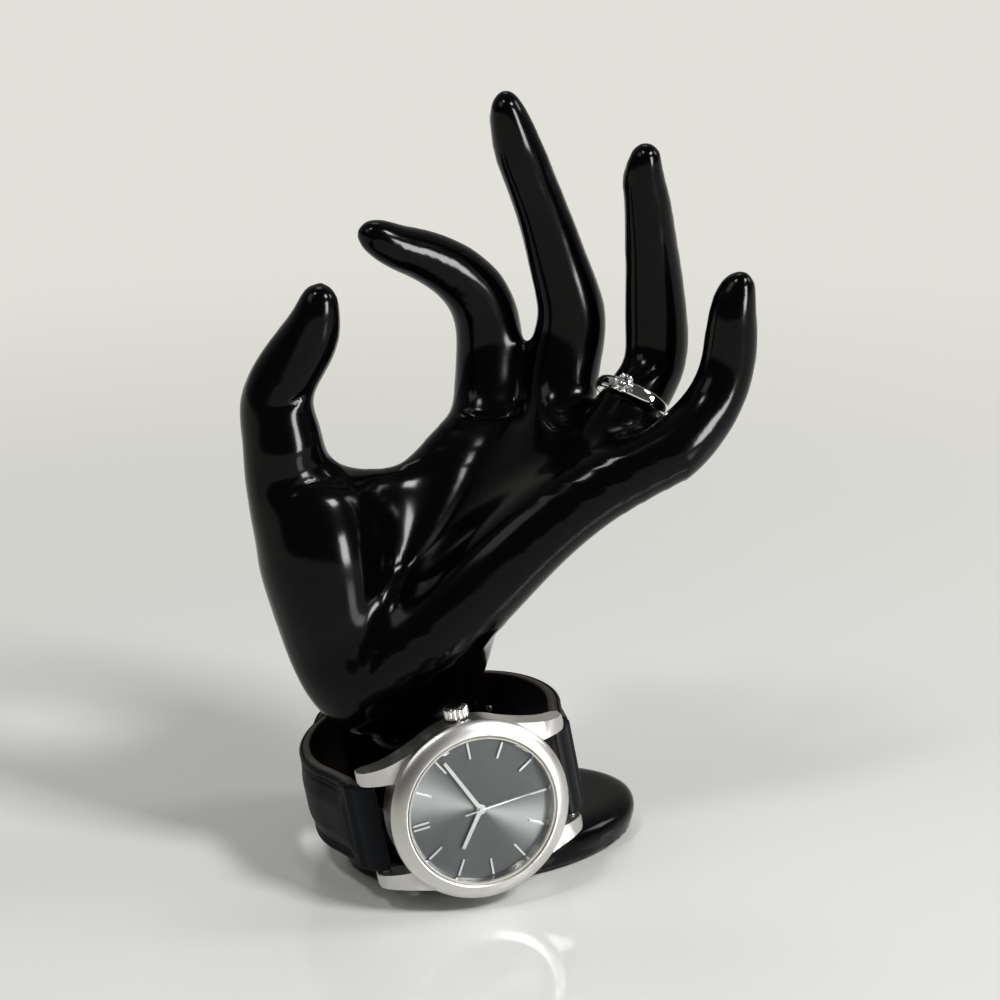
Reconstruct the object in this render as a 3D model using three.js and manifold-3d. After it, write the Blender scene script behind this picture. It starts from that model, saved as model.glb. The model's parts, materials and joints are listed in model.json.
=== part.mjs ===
import * as THREE from 'three';
import { mergeVertices } from 'three/addons/utils/BufferGeometryUtils.js';
import Module from 'manifold-3d';

// A glossy black hand that displays jewelry, wearing a wristwatch and a solitaire ring.
// Lengths are millimetres. +Z is up, the watch faces -Y, and the origin is on the table under the foot.

const wasm = await Module();
wasm.setup();

const degrees = Math.PI / 180;
const vec = (x, y, z) => new THREE.Vector3(x, y, z);

const finish = (color, roughness, metalness) => new THREE.MeshStandardMaterial({ color, roughness, metalness });
const blackGloss = finish(0x0a0a0b, 0.12, 0);
const blackFelt = finish(0x161616, 0.95, 0);
const brushedSteel = finish(0xc9c6bf, 0.32, 1);
const polishedSteel = finish(0xd8d6d0, 0.12, 1);
const rhodium = finish(0xe2e2e0, 0.08, 1);
const sunrayGrey = finish(0x6d7072, 0.35, 0.8);
const movementBrass = finish(0xa89a72, 0.4, 0.9);
const clearGlass = finish(0xf4f8f8, 0.03, 0);
const diamond = finish(0xf2f5f7, 0.02, 0);
const blackRubber = finish(0x141414, 0.8, 0);
const paleNylon = finish(0xd7d4c8, 0.6, 0);
const blackLeather = finish(0x15161a, 0.45, 0);

// Hand: every run of joints is [x, y, z, radius], read from the wrist outward

const palmRuns = [
  [[-22.7, 0, 46.4, 11], [-18.6, 5, 61.5, 10.5], [-11.4, 11, 78.7, 9.8], [-3.6, 15, 89.3, 9]],
  [[-17, -1, 49.3, 11], [-10.1, 2, 65, 10], [1.8, 6, 81.5, 9.2], [12, 7.5, 91.5, 8.8]],
  [[-13.9, -4, 52.4, 11], [-2.7, -3, 69.7, 10], [10, -2, 84.2, 9], [21.8, -2, 91.6, 8.3]],
  [
    [-22.5, -16, 48.2, 9.5], [-15.3, -17, 55.2, 10], [-6.1, -17, 64.1, 10.3], [2.2, -17, 73, 10],
    [12.7, -16, 82.3, 9.2], [22.8, -15, 88.7, 8.3], [36.2, -13, 95.3, 7.4],
  ],
];
const thenarRun = [
  [-30.8, -16, 39.8, 8.9], [-33.4, -15, 44.9, 10.6], [-36, -13, 51.7, 11.5],
  [-37.7, -12, 62.7, 13.2], [-39.7, -11, 72.9, 13.7], [-40, -10, 79, 11.8],
];
const webRuns = [
  [
    [-38, -9, 81.5, 7], [-32.9, -6, 83.6, 5.2], [-25.5, -2, 83.6, 4.8],
    [-17.5, 4, 85.4, 4.8], [-10.8, 10, 90.3, 5],
  ],
  [[-37.4, -8, 75.8, 9], [-28.8, -4, 74.3, 8], [-20.2, 2, 74.6, 8], [-11.3, 10, 81.4, 8]],
];
const thumbRun = [
  [-44.5, -10, 82.9, 10.4], [-46.4, -10, 91.2, 9.4], [-47.2, -9, 97.3, 8.8], [-48.4, -8, 104.9, 7.9],
  [-45.8, -8, 111.6, 7.3], [-42.2, -8, 117.1, 6.9], [-39.5, -9, 122.5, 5.9], [-38.4, -10, 128, 4.5],
];
const indexRun = [
  [-2.7, 17, 92.2, 8.6], [-2.7, 20, 98.5, 8], [-2.5, 22, 105.7, 7.8], [-2.5, 23, 113, 7.6],
  [-4.7, 22, 120.7, 7.3], [-10.1, 19, 127.4, 6.6], [-16.6, 16, 131.7, 5.9], [-23.1, 12.5, 134.8, 5.1],
  [-26.9, 10.5, 137.2, 4.3], [-28.8, 9.5, 138.6, 3.4],
];
const middleRun = [
  [13.5, 10.5, 94.2, 8.8], [13.6, 14.5, 101.1, 8.4], [14.8, 16.8, 109.4, 8.4], [16.1, 17, 117.8, 7.8],
  [13.1, 16, 129.7, 6.8], [8.9, 14, 143.2, 5.9], [4.2, 11, 155.9, 5.6], [2.2, 10, 162.2, 4.8],
  [1.1, 9, 166.4, 3.8],
];
const ringFingerRun = [
  [23.4, -2.5, 93.8, 8.2], [27.6, 1, 99.7, 7.6], [32, 5, 105.1, 7], [34.7, 9, 110.2, 6.9],
  [34.7, 9.5, 115.4, 7.2], [34.2, 9, 123, 6.9], [33.2, 8, 134, 6.1], [31.8, 6, 145.7, 5.3],
  [30.8, 5, 152, 4.6], [31.2, 4, 156.3, 3.6],
];
const littleRun = [
  [41, -11, 98.8, 6.9], [45.8, -8, 104.4, 6.4], [48.8, -6, 111.2, 6.1], [49.7, -5.5, 118.2, 6],
  [49.9, -6, 124.6, 5.3], [50.6, -6, 129, 4.4], [51.7, -7, 131.8, 2.9],
];

const wristRadius = 14.6;
const wristDepthShare = 0.78; // front to back over side to side
const wristTurn = 30;
const wristPlace = { x: -19.6, y: -3.4 };
const wristBottom = 18;
const wristTop = 46;

const palmBlend = 7;
const thenarBlend = 6;
const webBlend = 5;
const wristBlend = 10;
const fingerBlend = 3;
const thumbBlend = 4;
const footBlend = 9;

const footLength = 72;
const footWidth = 44;
const footThickness = 9;
const footTurn = 25;
const footPlace = { x: -2, y: -8 };
const footStandOff = 0.4; // the felt pad stands this much proud of the casting

const surfaceStep = 3.3; // spacing of the modelled surface's points
const splineParts = 4;

const padThickness = 1;
const padMargin = 4;
const seatGap = 0.3;

const softMin = (a, b, blend) => {
  const share = Math.max(blend - Math.abs(a - b), 0) / blend;
  return Math.min(a, b) - (share * share * blend) / 4;
};

function alongSpline(run) {
  const points = run.map(([x, y, z]) => vec(x, y, z));
  const centre = new THREE.CatmullRomCurve3(points, false, 'centripetal');
  const radius = new THREE.SplineCurve(run.map((joint, i) => new THREE.Vector2(i, joint[3])));
  const count = (run.length - 1) * splineParts;
  return Array.from({ length: count + 1 }, (_, i) => {
    const t = i / count;
    return { ...centre.getPoint(t), radius: radius.getPoint(t).y, at: centre.getPoint(t) };
  });
}

function distanceToRun(spheres, x, y, z) {
  let nearest = Infinity;
  for (let i = 0; i + 1 < spheres.length; i++) {
    const a = spheres[i];
    const b = spheres[i + 1];
    const [dx, dy, dz] = [b.x - a.x, b.y - a.y, b.z - a.z];
    const [px, py, pz] = [x - a.x, y - a.y, z - a.z];
    const share = THREE.MathUtils.clamp((px * dx + py * dy + pz * dz) / (dx * dx + dy * dy + dz * dz), 0, 1);
    const gap = Math.hypot(px - share * dx, py - share * dy, pz - share * dz);
    nearest = Math.min(nearest, gap - a.radius - share * (b.radius - a.radius));
  }
  return nearest;
}

function pointAlong(spheres, joint) {
  const place = joint * splineParts;
  const before = Math.floor(place);
  return spheres[before].at.clone().lerp(spheres[before + 1].at, place - before);
}

const palmSpheres = palmRuns.map(alongSpline);
const webSpheres = webRuns.map(alongSpline);
const thenarSpheres = alongSpline(thenarRun);
const thumbSpheres = alongSpline(thumbRun);
const ringFingerSpheres = alongSpline(ringFingerRun);
const fingerSpheres = [indexRun, middleRun, littleRun].map(alongSpline).concat([ringFingerSpheres]);

function distanceToWrist(x, y, z) {
  const turn = wristTurn * degrees;
  const dx = x - wristPlace.x;
  const dy = y - wristPlace.y;
  const across = dx * Math.cos(turn) - dy * Math.sin(turn);
  const through = (dx * Math.sin(turn) + dy * Math.cos(turn)) / wristDepthShare;
  const beyond = z - THREE.MathUtils.clamp(z, wristBottom, wristTop);
  return (Math.hypot(across, through, beyond) - wristRadius) * wristDepthShare;
}

function distanceToFoot(x, y, z) {
  const turn = footTurn * degrees;
  const rim = footThickness / 2;
  const halfLength = footLength / 2 - rim;
  const halfWidth = footWidth / 2 - rim;
  const dx = x - footPlace.x;
  const dy = y - footPlace.y;
  const along = dx * Math.cos(turn) + dy * Math.sin(turn);
  const over = dy * Math.cos(turn) - dx * Math.sin(turn);
  const scale = Math.hypot(along / halfLength, over / halfWidth);
  const slope = Math.hypot(along / halfLength ** 2, over / halfWidth ** 2);
  const outside = slope > 0 ? (scale * (scale - 1)) / slope : -halfWidth;
  return Math.hypot(Math.max(outside, 0), z - footThickness / 2) - rim;
}

function distanceToHand(x, y, z) {
  let near = distanceToRun(palmSpheres[0], x, y, z);
  for (const bone of palmSpheres.slice(1)) near = softMin(near, distanceToRun(bone, x, y, z), palmBlend);
  near = softMin(near, distanceToRun(thenarSpheres, x, y, z), thenarBlend);
  for (const web of webSpheres) near = softMin(near, distanceToRun(web, x, y, z), webBlend);
  near = softMin(near, distanceToWrist(x, y, z), wristBlend);
  const fingers = Math.min(...fingerSpheres.map((finger) => distanceToRun(finger, x, y, z)));
  near = softMin(near, fingers, fingerBlend);
  near = softMin(near, distanceToRun(thumbSpheres, x, y, z), thumbBlend);
  return softMin(near, distanceToFoot(x, y, z), footBlend);
}

// Closed surfaces from points and faces, turned so that their faces look outward

function surface(points, faces) {
  let volume = 0;
  for (const [a, b, c] of faces) volume += points[a].dot(vec(0, 0, 0).crossVectors(points[b], points[c]));
  const outward = volume > 0 ? faces : faces.map(([a, b, c]) => [a, c, b]);
  const geometry = new THREE.BufferGeometry();
  const places = points.flatMap((p) => [p.x, p.y, p.z]);
  geometry.setAttribute('position', new THREE.Float32BufferAttribute(places, 3));
  geometry.setIndex(outward.flat());
  return geometry;
}

// One layer of points over the zero level of a distance field, joined into triangles

function skinOf(distance, low, high, step) {
  const size = [0, 1, 2].map((axis) => Math.ceil((high[axis] - low[axis]) / step) + 1);
  const slot = (i, j, k) => (k * size[1] + j) * size[0] + i;
  const level = new Float64Array(size[0] * size[1] * size[2]);
  const eachCell = (first, visit) => {
    for (let k = first; k < size[2] - 1; k++) {
      for (let j = first; j < size[1] - 1; j++) {
        for (let i = first; i < size[0] - 1; i++) visit(i, j, k);
      }
    }
  };
  for (let k = 0; k < size[2]; k++) {
    for (let j = 0; j < size[1]; j++) {
      for (let i = 0; i < size[0]; i++) {
        level[slot(i, j, k)] = distance(low[0] + i * step, low[1] + j * step, low[2] + k * step);
      }
    }
  }

  const steps = [[1, 0, 0], [0, 1, 0], [0, 0, 1]];
  const closeSaddles = () => {
    let closed = 0;
    eachCell(0, (i, j, k) => {
      for (let axis = 0; axis < 3; axis++) {
        const [a, b] = [steps[axis], steps[(axis + 1) % 3]];
        const near = slot(i, j, k);
        const far = slot(i + a[0] + b[0], j + a[1] + b[1], k + a[2] + b[2]);
        const left = slot(i + a[0], j + a[1], k + a[2]);
        const right = slot(i + b[0], j + b[1], k + b[2]);
        const inside = [near, far, left, right].map((s) => level[s] < 0);
        if (inside[0] !== inside[1] || inside[2] !== inside[3] || inside[0] === inside[2]) continue;
        level[inside[0] ? left : near] = -step / 100;
        closed++;
      }
    });
    return closed;
  };
  while (closeSaddles() > 0);

  const corners = [0, 1, 2, 3, 4, 5, 6, 7].map((bit) => [bit & 1, (bit >> 1) & 1, (bit >> 2) & 1]);
  const edges = corners.flatMap((_, a) => [1, 2, 4].filter((bit) => !(a & bit)).map((bit) => [a, a | bit]));
  const points = [];
  const pointIn = new Map();
  eachCell(0, (i, j, k) => {
    const crossings = [];
    const values = corners.map(([a, b, c]) => level[slot(i + a, j + b, k + c)]);
    for (const [a, b] of edges) {
      if (values[a] < 0 === values[b] < 0) continue;
      const from = vec(...corners[a]);
      crossings.push(from.lerp(vec(...corners[b]), values[a] / (values[a] - values[b])));
    }
    if (crossings.length === 0) return;
    const middle = vec(0, 0, 0);
    for (const crossing of crossings) middle.addScaledVector(crossing, 1 / crossings.length);
    pointIn.set(slot(i, j, k), points.length);
    points.push(middle.add(vec(i, j, k)).multiplyScalar(step).add(vec(...low)));
  });

  const quads = [];
  eachCell(1, (i, j, k) => {
    for (let axis = 0; axis < 3; axis++) {
      const along = steps[axis];
      const here = level[slot(i, j, k)] < 0;
      if (here === level[slot(i + along[0], j + along[1], k + along[2])] < 0) continue;
      const [a, b] = [steps[(axis + 1) % 3], steps[(axis + 2) % 3]];
      const round = [[0, 0], [1, 0], [1, 1], [0, 1]].map(([p, q]) => pointIn.get(
        slot(i - p * a[0] - q * b[0], j - p * a[1] - q * b[1], k - p * a[2] - q * b[2]),
      ));
      quads.push(here ? round : round.reverse());
    }
  });

  const probe = step / 50;
  const slope = (p) => vec(
    distance(p.x + probe, p.y, p.z) - distance(p.x - probe, p.y, p.z),
    distance(p.x, p.y + probe, p.z) - distance(p.x, p.y - probe, p.z),
    distance(p.x, p.y, p.z + probe) - distance(p.x, p.y, p.z - probe),
  ).divideScalar(2 * probe);
  const settle = (p) => {
    for (let turn = 0; turn < 3; turn++) {
      const uphill = slope(p);
      p.addScaledVector(uphill, -distance(p.x, p.y, p.z) / Math.max(uphill.lengthSq(), 0.1));
    }
  };
  const evenOut = () => {
    const sums = points.map(() => ({ total: vec(0, 0, 0), count: 0 }));
    for (const quad of quads) {
      quad.forEach((corner, turn) => {
        sums[corner].total.add(points[quad[(turn + 1) % 4]]);
        sums[corner].count++;
      });
    }
    points.forEach((p, i) => p.lerp(sums[i].total.divideScalar(sums[i].count), 0.5));
  };
  points.forEach(settle);
  for (let pass = 0; pass < 3; pass++) {
    evenOut();
    points.forEach(settle);
  }

  const span = (a, b) => points[a].distanceTo(points[b]);
  return surface(points, quads.flatMap(([a, b, c, d]) => (
    span(a, c) < span(b, d) ? [[a, b, c], [a, c, d]] : [[a, b, d], [b, c, d]]
  )));
}

// Joining and cutting

function toSolid(geometry) {
  const bare = geometry.clone();
  bare.deleteAttribute('normal');
  bare.deleteAttribute('uv');
  const merged = mergeVertices(bare, 1e-4);
  return new wasm.Manifold(new wasm.Mesh({
    numProp: 3,
    vertProperties: new Float32Array(merged.attributes.position.array),
    triVerts: new Uint32Array(merged.index.array),
  }));
}

function toGeometry(shape) {
  const mesh = shape.getMesh();
  const geometry = new THREE.BufferGeometry();
  geometry.setAttribute('position', new THREE.BufferAttribute(new Float32Array(mesh.vertProperties), 3));
  geometry.setIndex(new THREE.BufferAttribute(new Uint32Array(mesh.triVerts), 1));
  return geometry;
}

const cut = (from, ...tools) => toGeometry(tools.reduce(
  (rest, tool) => rest.subtract(toSolid(tool)),
  toSolid(from),
));
const join = (first, ...others) => toGeometry(others.reduce(
  (sum, other) => sum.add(toSolid(other)),
  toSolid(first),
));
const overlapOf = (a, b) => toGeometry(toSolid(a).intersect(toSolid(b)));

// Basic stock: everything stands on its lower height and runs up to its upper one

const roundSides = 40;
const smallSides = 24;

function block(wide, deep, low, high) {
  return new THREE.BoxGeometry(wide, deep, high - low).translate(0, 0, (low + high) / 2);
}

function rod(radius, low, high, sides = smallSides) {
  return new THREE.CylinderGeometry(radius, radius, high - low, sides).rotateX(Math.PI / 2)
    .translate(0, 0, (low + high) / 2);
}

function turned(profile, sides = roundSides) {
  const closed = [...profile, profile[0]].map(([radius, height]) => new THREE.Vector2(radius, height));
  const lathe = new THREE.LatheGeometry(closed, sides).rotateX(Math.PI / 2);
  const merged = mergeVertices(strip(lathe), 1e-4);
  const points = [];
  for (let i = 0; i < merged.attributes.position.count; i++) {
    points.push(vec(0, 0, 0).fromBufferAttribute(merged.attributes.position, i));
  }
  const index = merged.index.array;
  const faces = [];
  for (let i = 0; i < index.length; i += 3) {
    const face = [index[i], index[i + 1], index[i + 2]];
    if (new Set(face).size === 3) faces.push(face);
  }
  return surface(points, faces);
}

function strip(geometry) {
  geometry.deleteAttribute('normal');
  geometry.deleteAttribute('uv');
  return geometry;
}

const ringOf = (inner, outer, low, high, sides) => turned(
  [[inner, low], [outer, low], [outer, high], [inner, high]],
  sides,
);

function plate(outline, low, high, holes = []) {
  const shape = new THREE.Shape(outline.map(([x, y]) => new THREE.Vector2(x, y)));
  shape.holes = holes.map((hole) => new THREE.Path(hole.map(([x, y]) => new THREE.Vector2(x, y))));
  return new THREE.ExtrudeGeometry(shape, { depth: high - low, bevelEnabled: false }).translate(0, 0, low);
}

function circle(radius, sides = smallSides, x = 0, y = 0) {
  return Array.from({ length: sides }, (_, i) => {
    const angle = (i / sides) * 2 * Math.PI;
    return [x + radius * Math.cos(angle), y + radius * Math.sin(angle)];
  });
}

function loft(rings, closed = false) {
  const count = rings[0].length;
  const faces = [];
  for (let i = 0; i < rings.length - (closed ? 0 : 1); i++) {
    const near = i * count;
    const far = ((i + 1) % rings.length) * count;
    for (let j = 0; j < count; j++) {
      const next = (j + 1) % count;
      faces.push([near + j, near + next, far + next], [near + j, far + next, far + j]);
    }
  }
  const last = (rings.length - 1) * count;
  for (let j = 1; j + 1 < count && !closed; j++) {
    faces.push([0, j + 1, j], [last, last + j, last + j + 1]);
  }
  return surface(rings.flat(), faces);
}

// The assembly

const display = new THREE.Group();

function piece(parent, name, geometry, material) {
  const mesh = new THREE.Mesh(geometry, material);
  mesh.name = name;
  parent.add(mesh);
  return mesh;
}

// Hand casting and base pad

const ovalFoot = (margin, low, high) => plate(circle(1, roundSides).map(([x, y]) => [
  x * (footLength / 2 - margin),
  y * (footWidth / 2 - margin),
]), low, high).rotateZ(footTurn * degrees).translate(footPlace.x, footPlace.y, 0);

const handSkin = skinOf(distanceToHand, [-66, -44, -6], [66, 44, 177], surfaceStep);
const handCasting = cut(
  handSkin,
  block(4 * footLength, 4 * footLength, -footThickness, footStandOff).translate(footPlace.x, footPlace.y, 0),
  ovalFoot(padMargin - seatGap, -footThickness, padThickness + seatGap),
);
piece(display, 'hand_casting', handCasting, blackGloss);
piece(display, 'base_pad', ovalFoot(padMargin, 0, padThickness), blackFelt);

// Watch: local X runs to 6 o'clock, Y to 3 o'clock and Z out of the dial, whose face is at height 0

const watchYaw = 17.8;
const watchStandOff = 6.0488; // of the dial's middle in front of the foot's edge
const watchAside = -11.5136; // of the dial's middle along that edge, from the foot's middle
const watchHeight = 23.05;
const watchLean = 7.3;
const watchTwist = 9;

const stackGap = 0.15; // between parts stacked or nested inside the watch
const bezelRadius = 20;
const bezelWidth = 3.4; // from its rim in to the crystal's seat
const bezelSkirtWall = 2.4;
const bezelDepth = 1; // below the dial's face
const bezelHeight = 2.35; // above it
const bezelOverhang = 0.6; // past the case
const caseWall = 3.8;
const caseDepth = 7.3;
const dialThickness = 0.5;
const postBore = 0.6;
const markerInset = 1.35; // from the bezel's bore
const markerLength = 3.65;
const markerWidth = 0.44;
const markerHeight = 0.3;
const twinMarkerSpread = 1;
const handThickness = 0.2;
const hourHandShortfall = 5.95; // the hands end this much short of the markers' outer ends
const minuteHandShortfall = 1.35;
const secondHandShortfall = 0.45;
const secondHandTail = 3.75;
const hourAngle = 306.4;
const minuteAngle = 65;
const secondAngle = 177.6;
const flangeWidth = 0.85;
const crystalThickness = 0.9;
const gasketWidth = 0.3;
const holderWidth = 2.6; // from the case's bore to the movement
const movementThickness = 4.55;
const backInset = 2.4; // from the case's rim
const backThickness = 0.85;
const crownRadius = 2.4;
const crownLength = 2.6;
const crownFlutes = 14;
const crownDepth = 3.7; // the stem's axis below the dial's face
const stemRadius = 0.5;
const strapWidth = 20;
const buckleEndWidth = 18;
const lugGap = 0.35;
const lugWidth = 3;
const lugLength = 4; // past the case
const barInset = 1.8; // from the lug's tip to the spring bar
const barLift = 0.7; // of the spring bar's middle above the case's underside
const barRadius = 0.75;
const leatherGap = 0.3;
const paddedThickness = 4.3; // of the strap near the lugs
const strapThickness = 2.4; // along the rest of it
const lugThickness = 2.8; // where it folds round the spring bar
const padStart = 12; // from the spring bar to where the padding begins to thin
const paddedReach = 45;
const tailReach = 24; // past the middle of the back
const strapRise = 0.09; // the strap runs level while the head leans back

const bezelBore = bezelRadius - bezelWidth;
const bezelSkirtBore = bezelRadius - bezelSkirtWall;
const caseRadius = bezelRadius - bezelOverhang;
const caseBore = caseRadius - caseWall;
const backRadius = caseRadius - backInset;
const movementRadius = caseBore - holderWidth;
const markerOuter = bezelBore - markerInset;
const markerInner = markerOuter - markerLength;
const hourHandLength = markerOuter - hourHandShortfall;
const minuteHandLength = markerOuter - minuteHandShortfall;
const secondHandLength = markerOuter - secondHandShortfall;
const barDepth = caseDepth - barLift;
const lugReach = caseRadius + lugLength;
const barReach = lugReach - barInset;
const dialRadius = bezelSkirtBore - leatherGap;
const dialLow = -dialThickness;
const movementHigh = dialLow - stackGap;
const movementLow = movementHigh - movementThickness;
const markerHigh = stackGap + markerHeight;
const hourLow = markerHigh + stackGap;
const minuteLow = hourLow + handThickness + stackGap;
const secondLow = minuteLow + handThickness + stackGap;
const crystalLow = secondLow + handThickness + stackGap;
const crystalHigh = crystalLow + crystalThickness;
const crystalRadius = bezelBore - 2 * stackGap - gasketWidth;
const caseTop = -bezelDepth - stackGap;
const lugInner = strapWidth / 2 + lugGap;
const lugOuter = lugInner + lugWidth;

const quarters = [[1, 1], [-1, 1], [-1, -1], [1, -1]];

function caseOutline() {
  const flank = [];
  const shoulder = Math.asin(lugInner / caseRadius);
  for (let i = 0; i < 4; i++) {
    const angle = (shoulder * i) / 4;
    flank.push([caseRadius * Math.cos(angle), caseRadius * Math.sin(angle)]);
  }
  const tipRound = lugWidth / 4;
  flank.push([caseRadius * Math.cos(shoulder), lugInner], [lugReach, lugInner]);
  flank.push([lugReach + tipRound / 2, lugInner + tipRound], [lugReach, lugOuter]);
  const meet = 62 * degrees;
  const sweep = new THREE.QuadraticBezierCurve(
    new THREE.Vector2(lugReach, lugOuter),
    new THREE.Vector2(lugReach * 0.68, lugOuter + lugWidth * 0.3),
    new THREE.Vector2(caseRadius * Math.cos(meet), caseRadius * Math.sin(meet)),
  );
  for (let i = 1; i <= 6; i++) flank.push(sweep.getPoint(i / 6).toArray());
  for (let i = 1; i < 4; i++) {
    const angle = meet + ((Math.PI / 2 - meet) * i) / 4;
    flank.push([caseRadius * Math.cos(angle), caseRadius * Math.sin(angle)]);
  }
  return quarters.flatMap(([sx, sy], quarter) => {
    const mirrored = flank.map(([x, y]) => [x * sx, y * sy]);
    if (quarter % 2 === 0) return quarter === 0 ? mirrored : [...mirrored, [-0, -caseRadius]];
    return [[0, caseRadius * sy], ...mirrored.reverse()].slice(0, -1).concat([mirrored[mirrored.length - 1]]);
  }).filter((point, i, all) => {
    const before = all[(i + all.length - 1) % all.length];
    return Math.hypot(point[0] - before[0], point[1] - before[1]) > 1e-6;
  });
}

function caseSide() {
  const half = [
    [0, caseTop], [caseRadius - 6.4, caseTop],
    [caseRadius - 1.9, caseTop - 0.5], [caseRadius + 1.1, caseTop - 1.7],
    [lugReach - 0.8, caseTop - 3.2], [lugReach - 0.3, caseTop - 4.6], [lugReach + 0.5, caseTop - 5.6],
    [lugReach, -caseDepth - 1.1], [lugReach - 1.4, -caseDepth - 1.5], [caseRadius + 0.1, -caseDepth - 0.5],
    [caseRadius - 1.8, -caseDepth], [0, -caseDepth],
  ];
  const other = half.slice(1, -1).reverse().map(([x, z]) => [-x, z]);
  return [...half, ...other];
}

const standing = (geometry) => geometry.rotateX(Math.PI / 2); // a plate drawn in X and Z, extruded along -Y
const alongY = (geometry) => geometry.rotateX(-Math.PI / 2); // stock that stood on Z now runs along +Y

const stemBore = alongY(rod(stemRadius + leatherGap, movementRadius - 1, caseRadius + 1))
  .translate(0, 0, -crownDepth);
const caseBlank = overlapOf(
  plate(caseOutline(), -2 * caseDepth, caseDepth),
  standing(plate(caseSide(), -2 * caseRadius, 2 * caseRadius)),
);
const watchCase = cut(
  join(caseBlank, ringOf(caseBore + 0.2, bezelSkirtBore - stackGap, caseTop - 1, movementHigh)),
  rod(caseBore, -3 * caseDepth, caseDepth, roundSides),
  rod(backRadius - 0.5, -3 * caseDepth, -caseDepth + 0.6, roundSides),
  stemBore,
);

const bezel = turned([
  [bezelSkirtBore, -bezelDepth], [bezelRadius - 0.3, -bezelDepth], [bezelRadius, 0.3 - bezelDepth],
  [bezelRadius, 0.6], [bezelRadius - 0.6, 1.35], [bezelBore + 0.4, bezelHeight], [bezelBore, bezelHeight],
  [bezelBore, stackGap], [bezelSkirtBore, stackGap],
]);

const flangeOuter = bezelBore - stackGap;
const flangeRing = turned([
  [markerOuter + 0.25, stackGap], [flangeOuter, stackGap], [flangeOuter, crystalLow - stackGap],
  [flangeOuter - flangeWidth / 2, crystalLow - stackGap],
]);

const backLow = -caseDepth - stackGap - backThickness;
const caseBack = turned([
  [0, backLow], [backRadius - 0.8, backLow], [backRadius, backLow + 0.4], [backRadius, backLow + backThickness],
  [caseBore - leatherGap, backLow + backThickness], [caseBore - leatherGap, movementLow - stackGap],
  [movementRadius + 0.5, movementLow - stackGap], [movementRadius + 0.5, movementLow - 1.6],
  [0, movementLow - 1.6],
]);

function fluted(radius, flutes, depth) {
  const sides = flutes * 4;
  return Array.from({ length: sides }, (_, i) => {
    const angle = (i / sides) * 2 * Math.PI;
    const reach = radius - (depth / 2) * (1 - Math.cos(flutes * angle));
    return [reach * Math.cos(angle), reach * Math.sin(angle)];
  });
}

function clockHand(length, tail, halfWidth, tipHalfWidth, hub, bore, low) {
  const start = Math.asin(halfWidth / hub);
  const outline = [];
  const steps = 14;
  for (let i = 0; i <= steps; i++) {
    const angle = start + ((2 * Math.PI - 2 * start) * i) / steps;
    outline.push([hub * Math.cos(angle), hub * Math.sin(angle)]);
  }
  outline.push([length, -tipHalfWidth], [length, tipHalfWidth]);
  const blade = plate(outline, low, low + handThickness, bore > 0 ? [circle(bore, 12)] : []);
  if (tail === 0) return blade;
  return join(blade, block(tail, 2 * halfWidth, low, low + handThickness).translate(-tail / 2, 0, 0));
}

// Clock angles turn from 12 o'clock, which is -X, by way of 3 o'clock, which is +Y
const toClock = (angle) => Math.PI - angle * degrees;

// The closed strap's loop, seen along the crown's axis
const loopAcross = -0.5;
const loopDepth = -29;
const loopHalfWidth = 28;
const loopHalfDepth = 27.6;
const loopSideRadius = 22;

const strapLoop = (() => {
  const centre = { across: loopAcross, depth: loopDepth };
  const halfWidth = loopHalfWidth;
  const halfDepth = loopHalfDepth;
  const sideRadius = loopSideRadius;
  const inset = halfWidth - sideRadius;
  const spare = halfDepth - sideRadius;
  const drop = (inset ** 2 - spare ** 2) / (2 * spare);
  const backRadius = halfDepth + drop;
  const turn = Math.atan2(drop, inset);
  const frontTurn = 20 * degrees;
  const pull = 4.5;
  const start = new THREE.Vector2(barReach - 1.5, -barDepth - lugThickness / 2 + 0.7);
  const front = (side) => {
    const hub = new THREE.Vector2(centre.across + side * inset, centre.depth);
    const join = hub.clone().add(new THREE.Vector2(side * Math.cos(frontTurn), Math.sin(frontTurn))
      .multiplyScalar(sideRadius));
    const from = new THREE.Vector2(side * start.x, start.y);
    return [
      from,
      from.clone().add(new THREE.Vector2(side * 0.9, -0.43).multiplyScalar(pull)),
      join.clone().add(new THREE.Vector2(-side * Math.sin(frontTurn), Math.cos(frontTurn)).multiplyScalar(pull)),
      join,
    ];
  };
  const path = new THREE.CurvePath();
  path.add(new THREE.CubicBezierCurve(...front(1)));
  path.add(new THREE.EllipseCurve(
    centre.across + inset, centre.depth, sideRadius, sideRadius, frontTurn, -turn, true,
  ));
  path.add(new THREE.EllipseCurve(
    centre.across, centre.depth + drop, backRadius, backRadius, -turn, turn - Math.PI, true,
  ));
  path.add(new THREE.EllipseCurve(
    centre.across - inset, centre.depth, sideRadius, sideRadius, turn - Math.PI, -Math.PI - frontTurn, true,
  ));
  path.add(new THREE.CubicBezierCurve(...front(-1).reverse()));
  const length = path.getLength();
  const at = (distance) => {
    const share = THREE.MathUtils.clamp(distance / length, 0, 1);
    const point = path.getPointAt(share);
    const heading = path.getTangentAt(share);
    return { point, heading, outward: new THREE.Vector2(-heading.y, heading.x) };
  };
  return { length, at, back: { across: centre.across, depth: centre.depth + drop, radius: backRadius }, turn };
})();

const rise = (depth) => strapRise * Math.max(0, -depth - barDepth - 2);
const bandStep = 3.2;
const bandEdge = 0.4;

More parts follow.
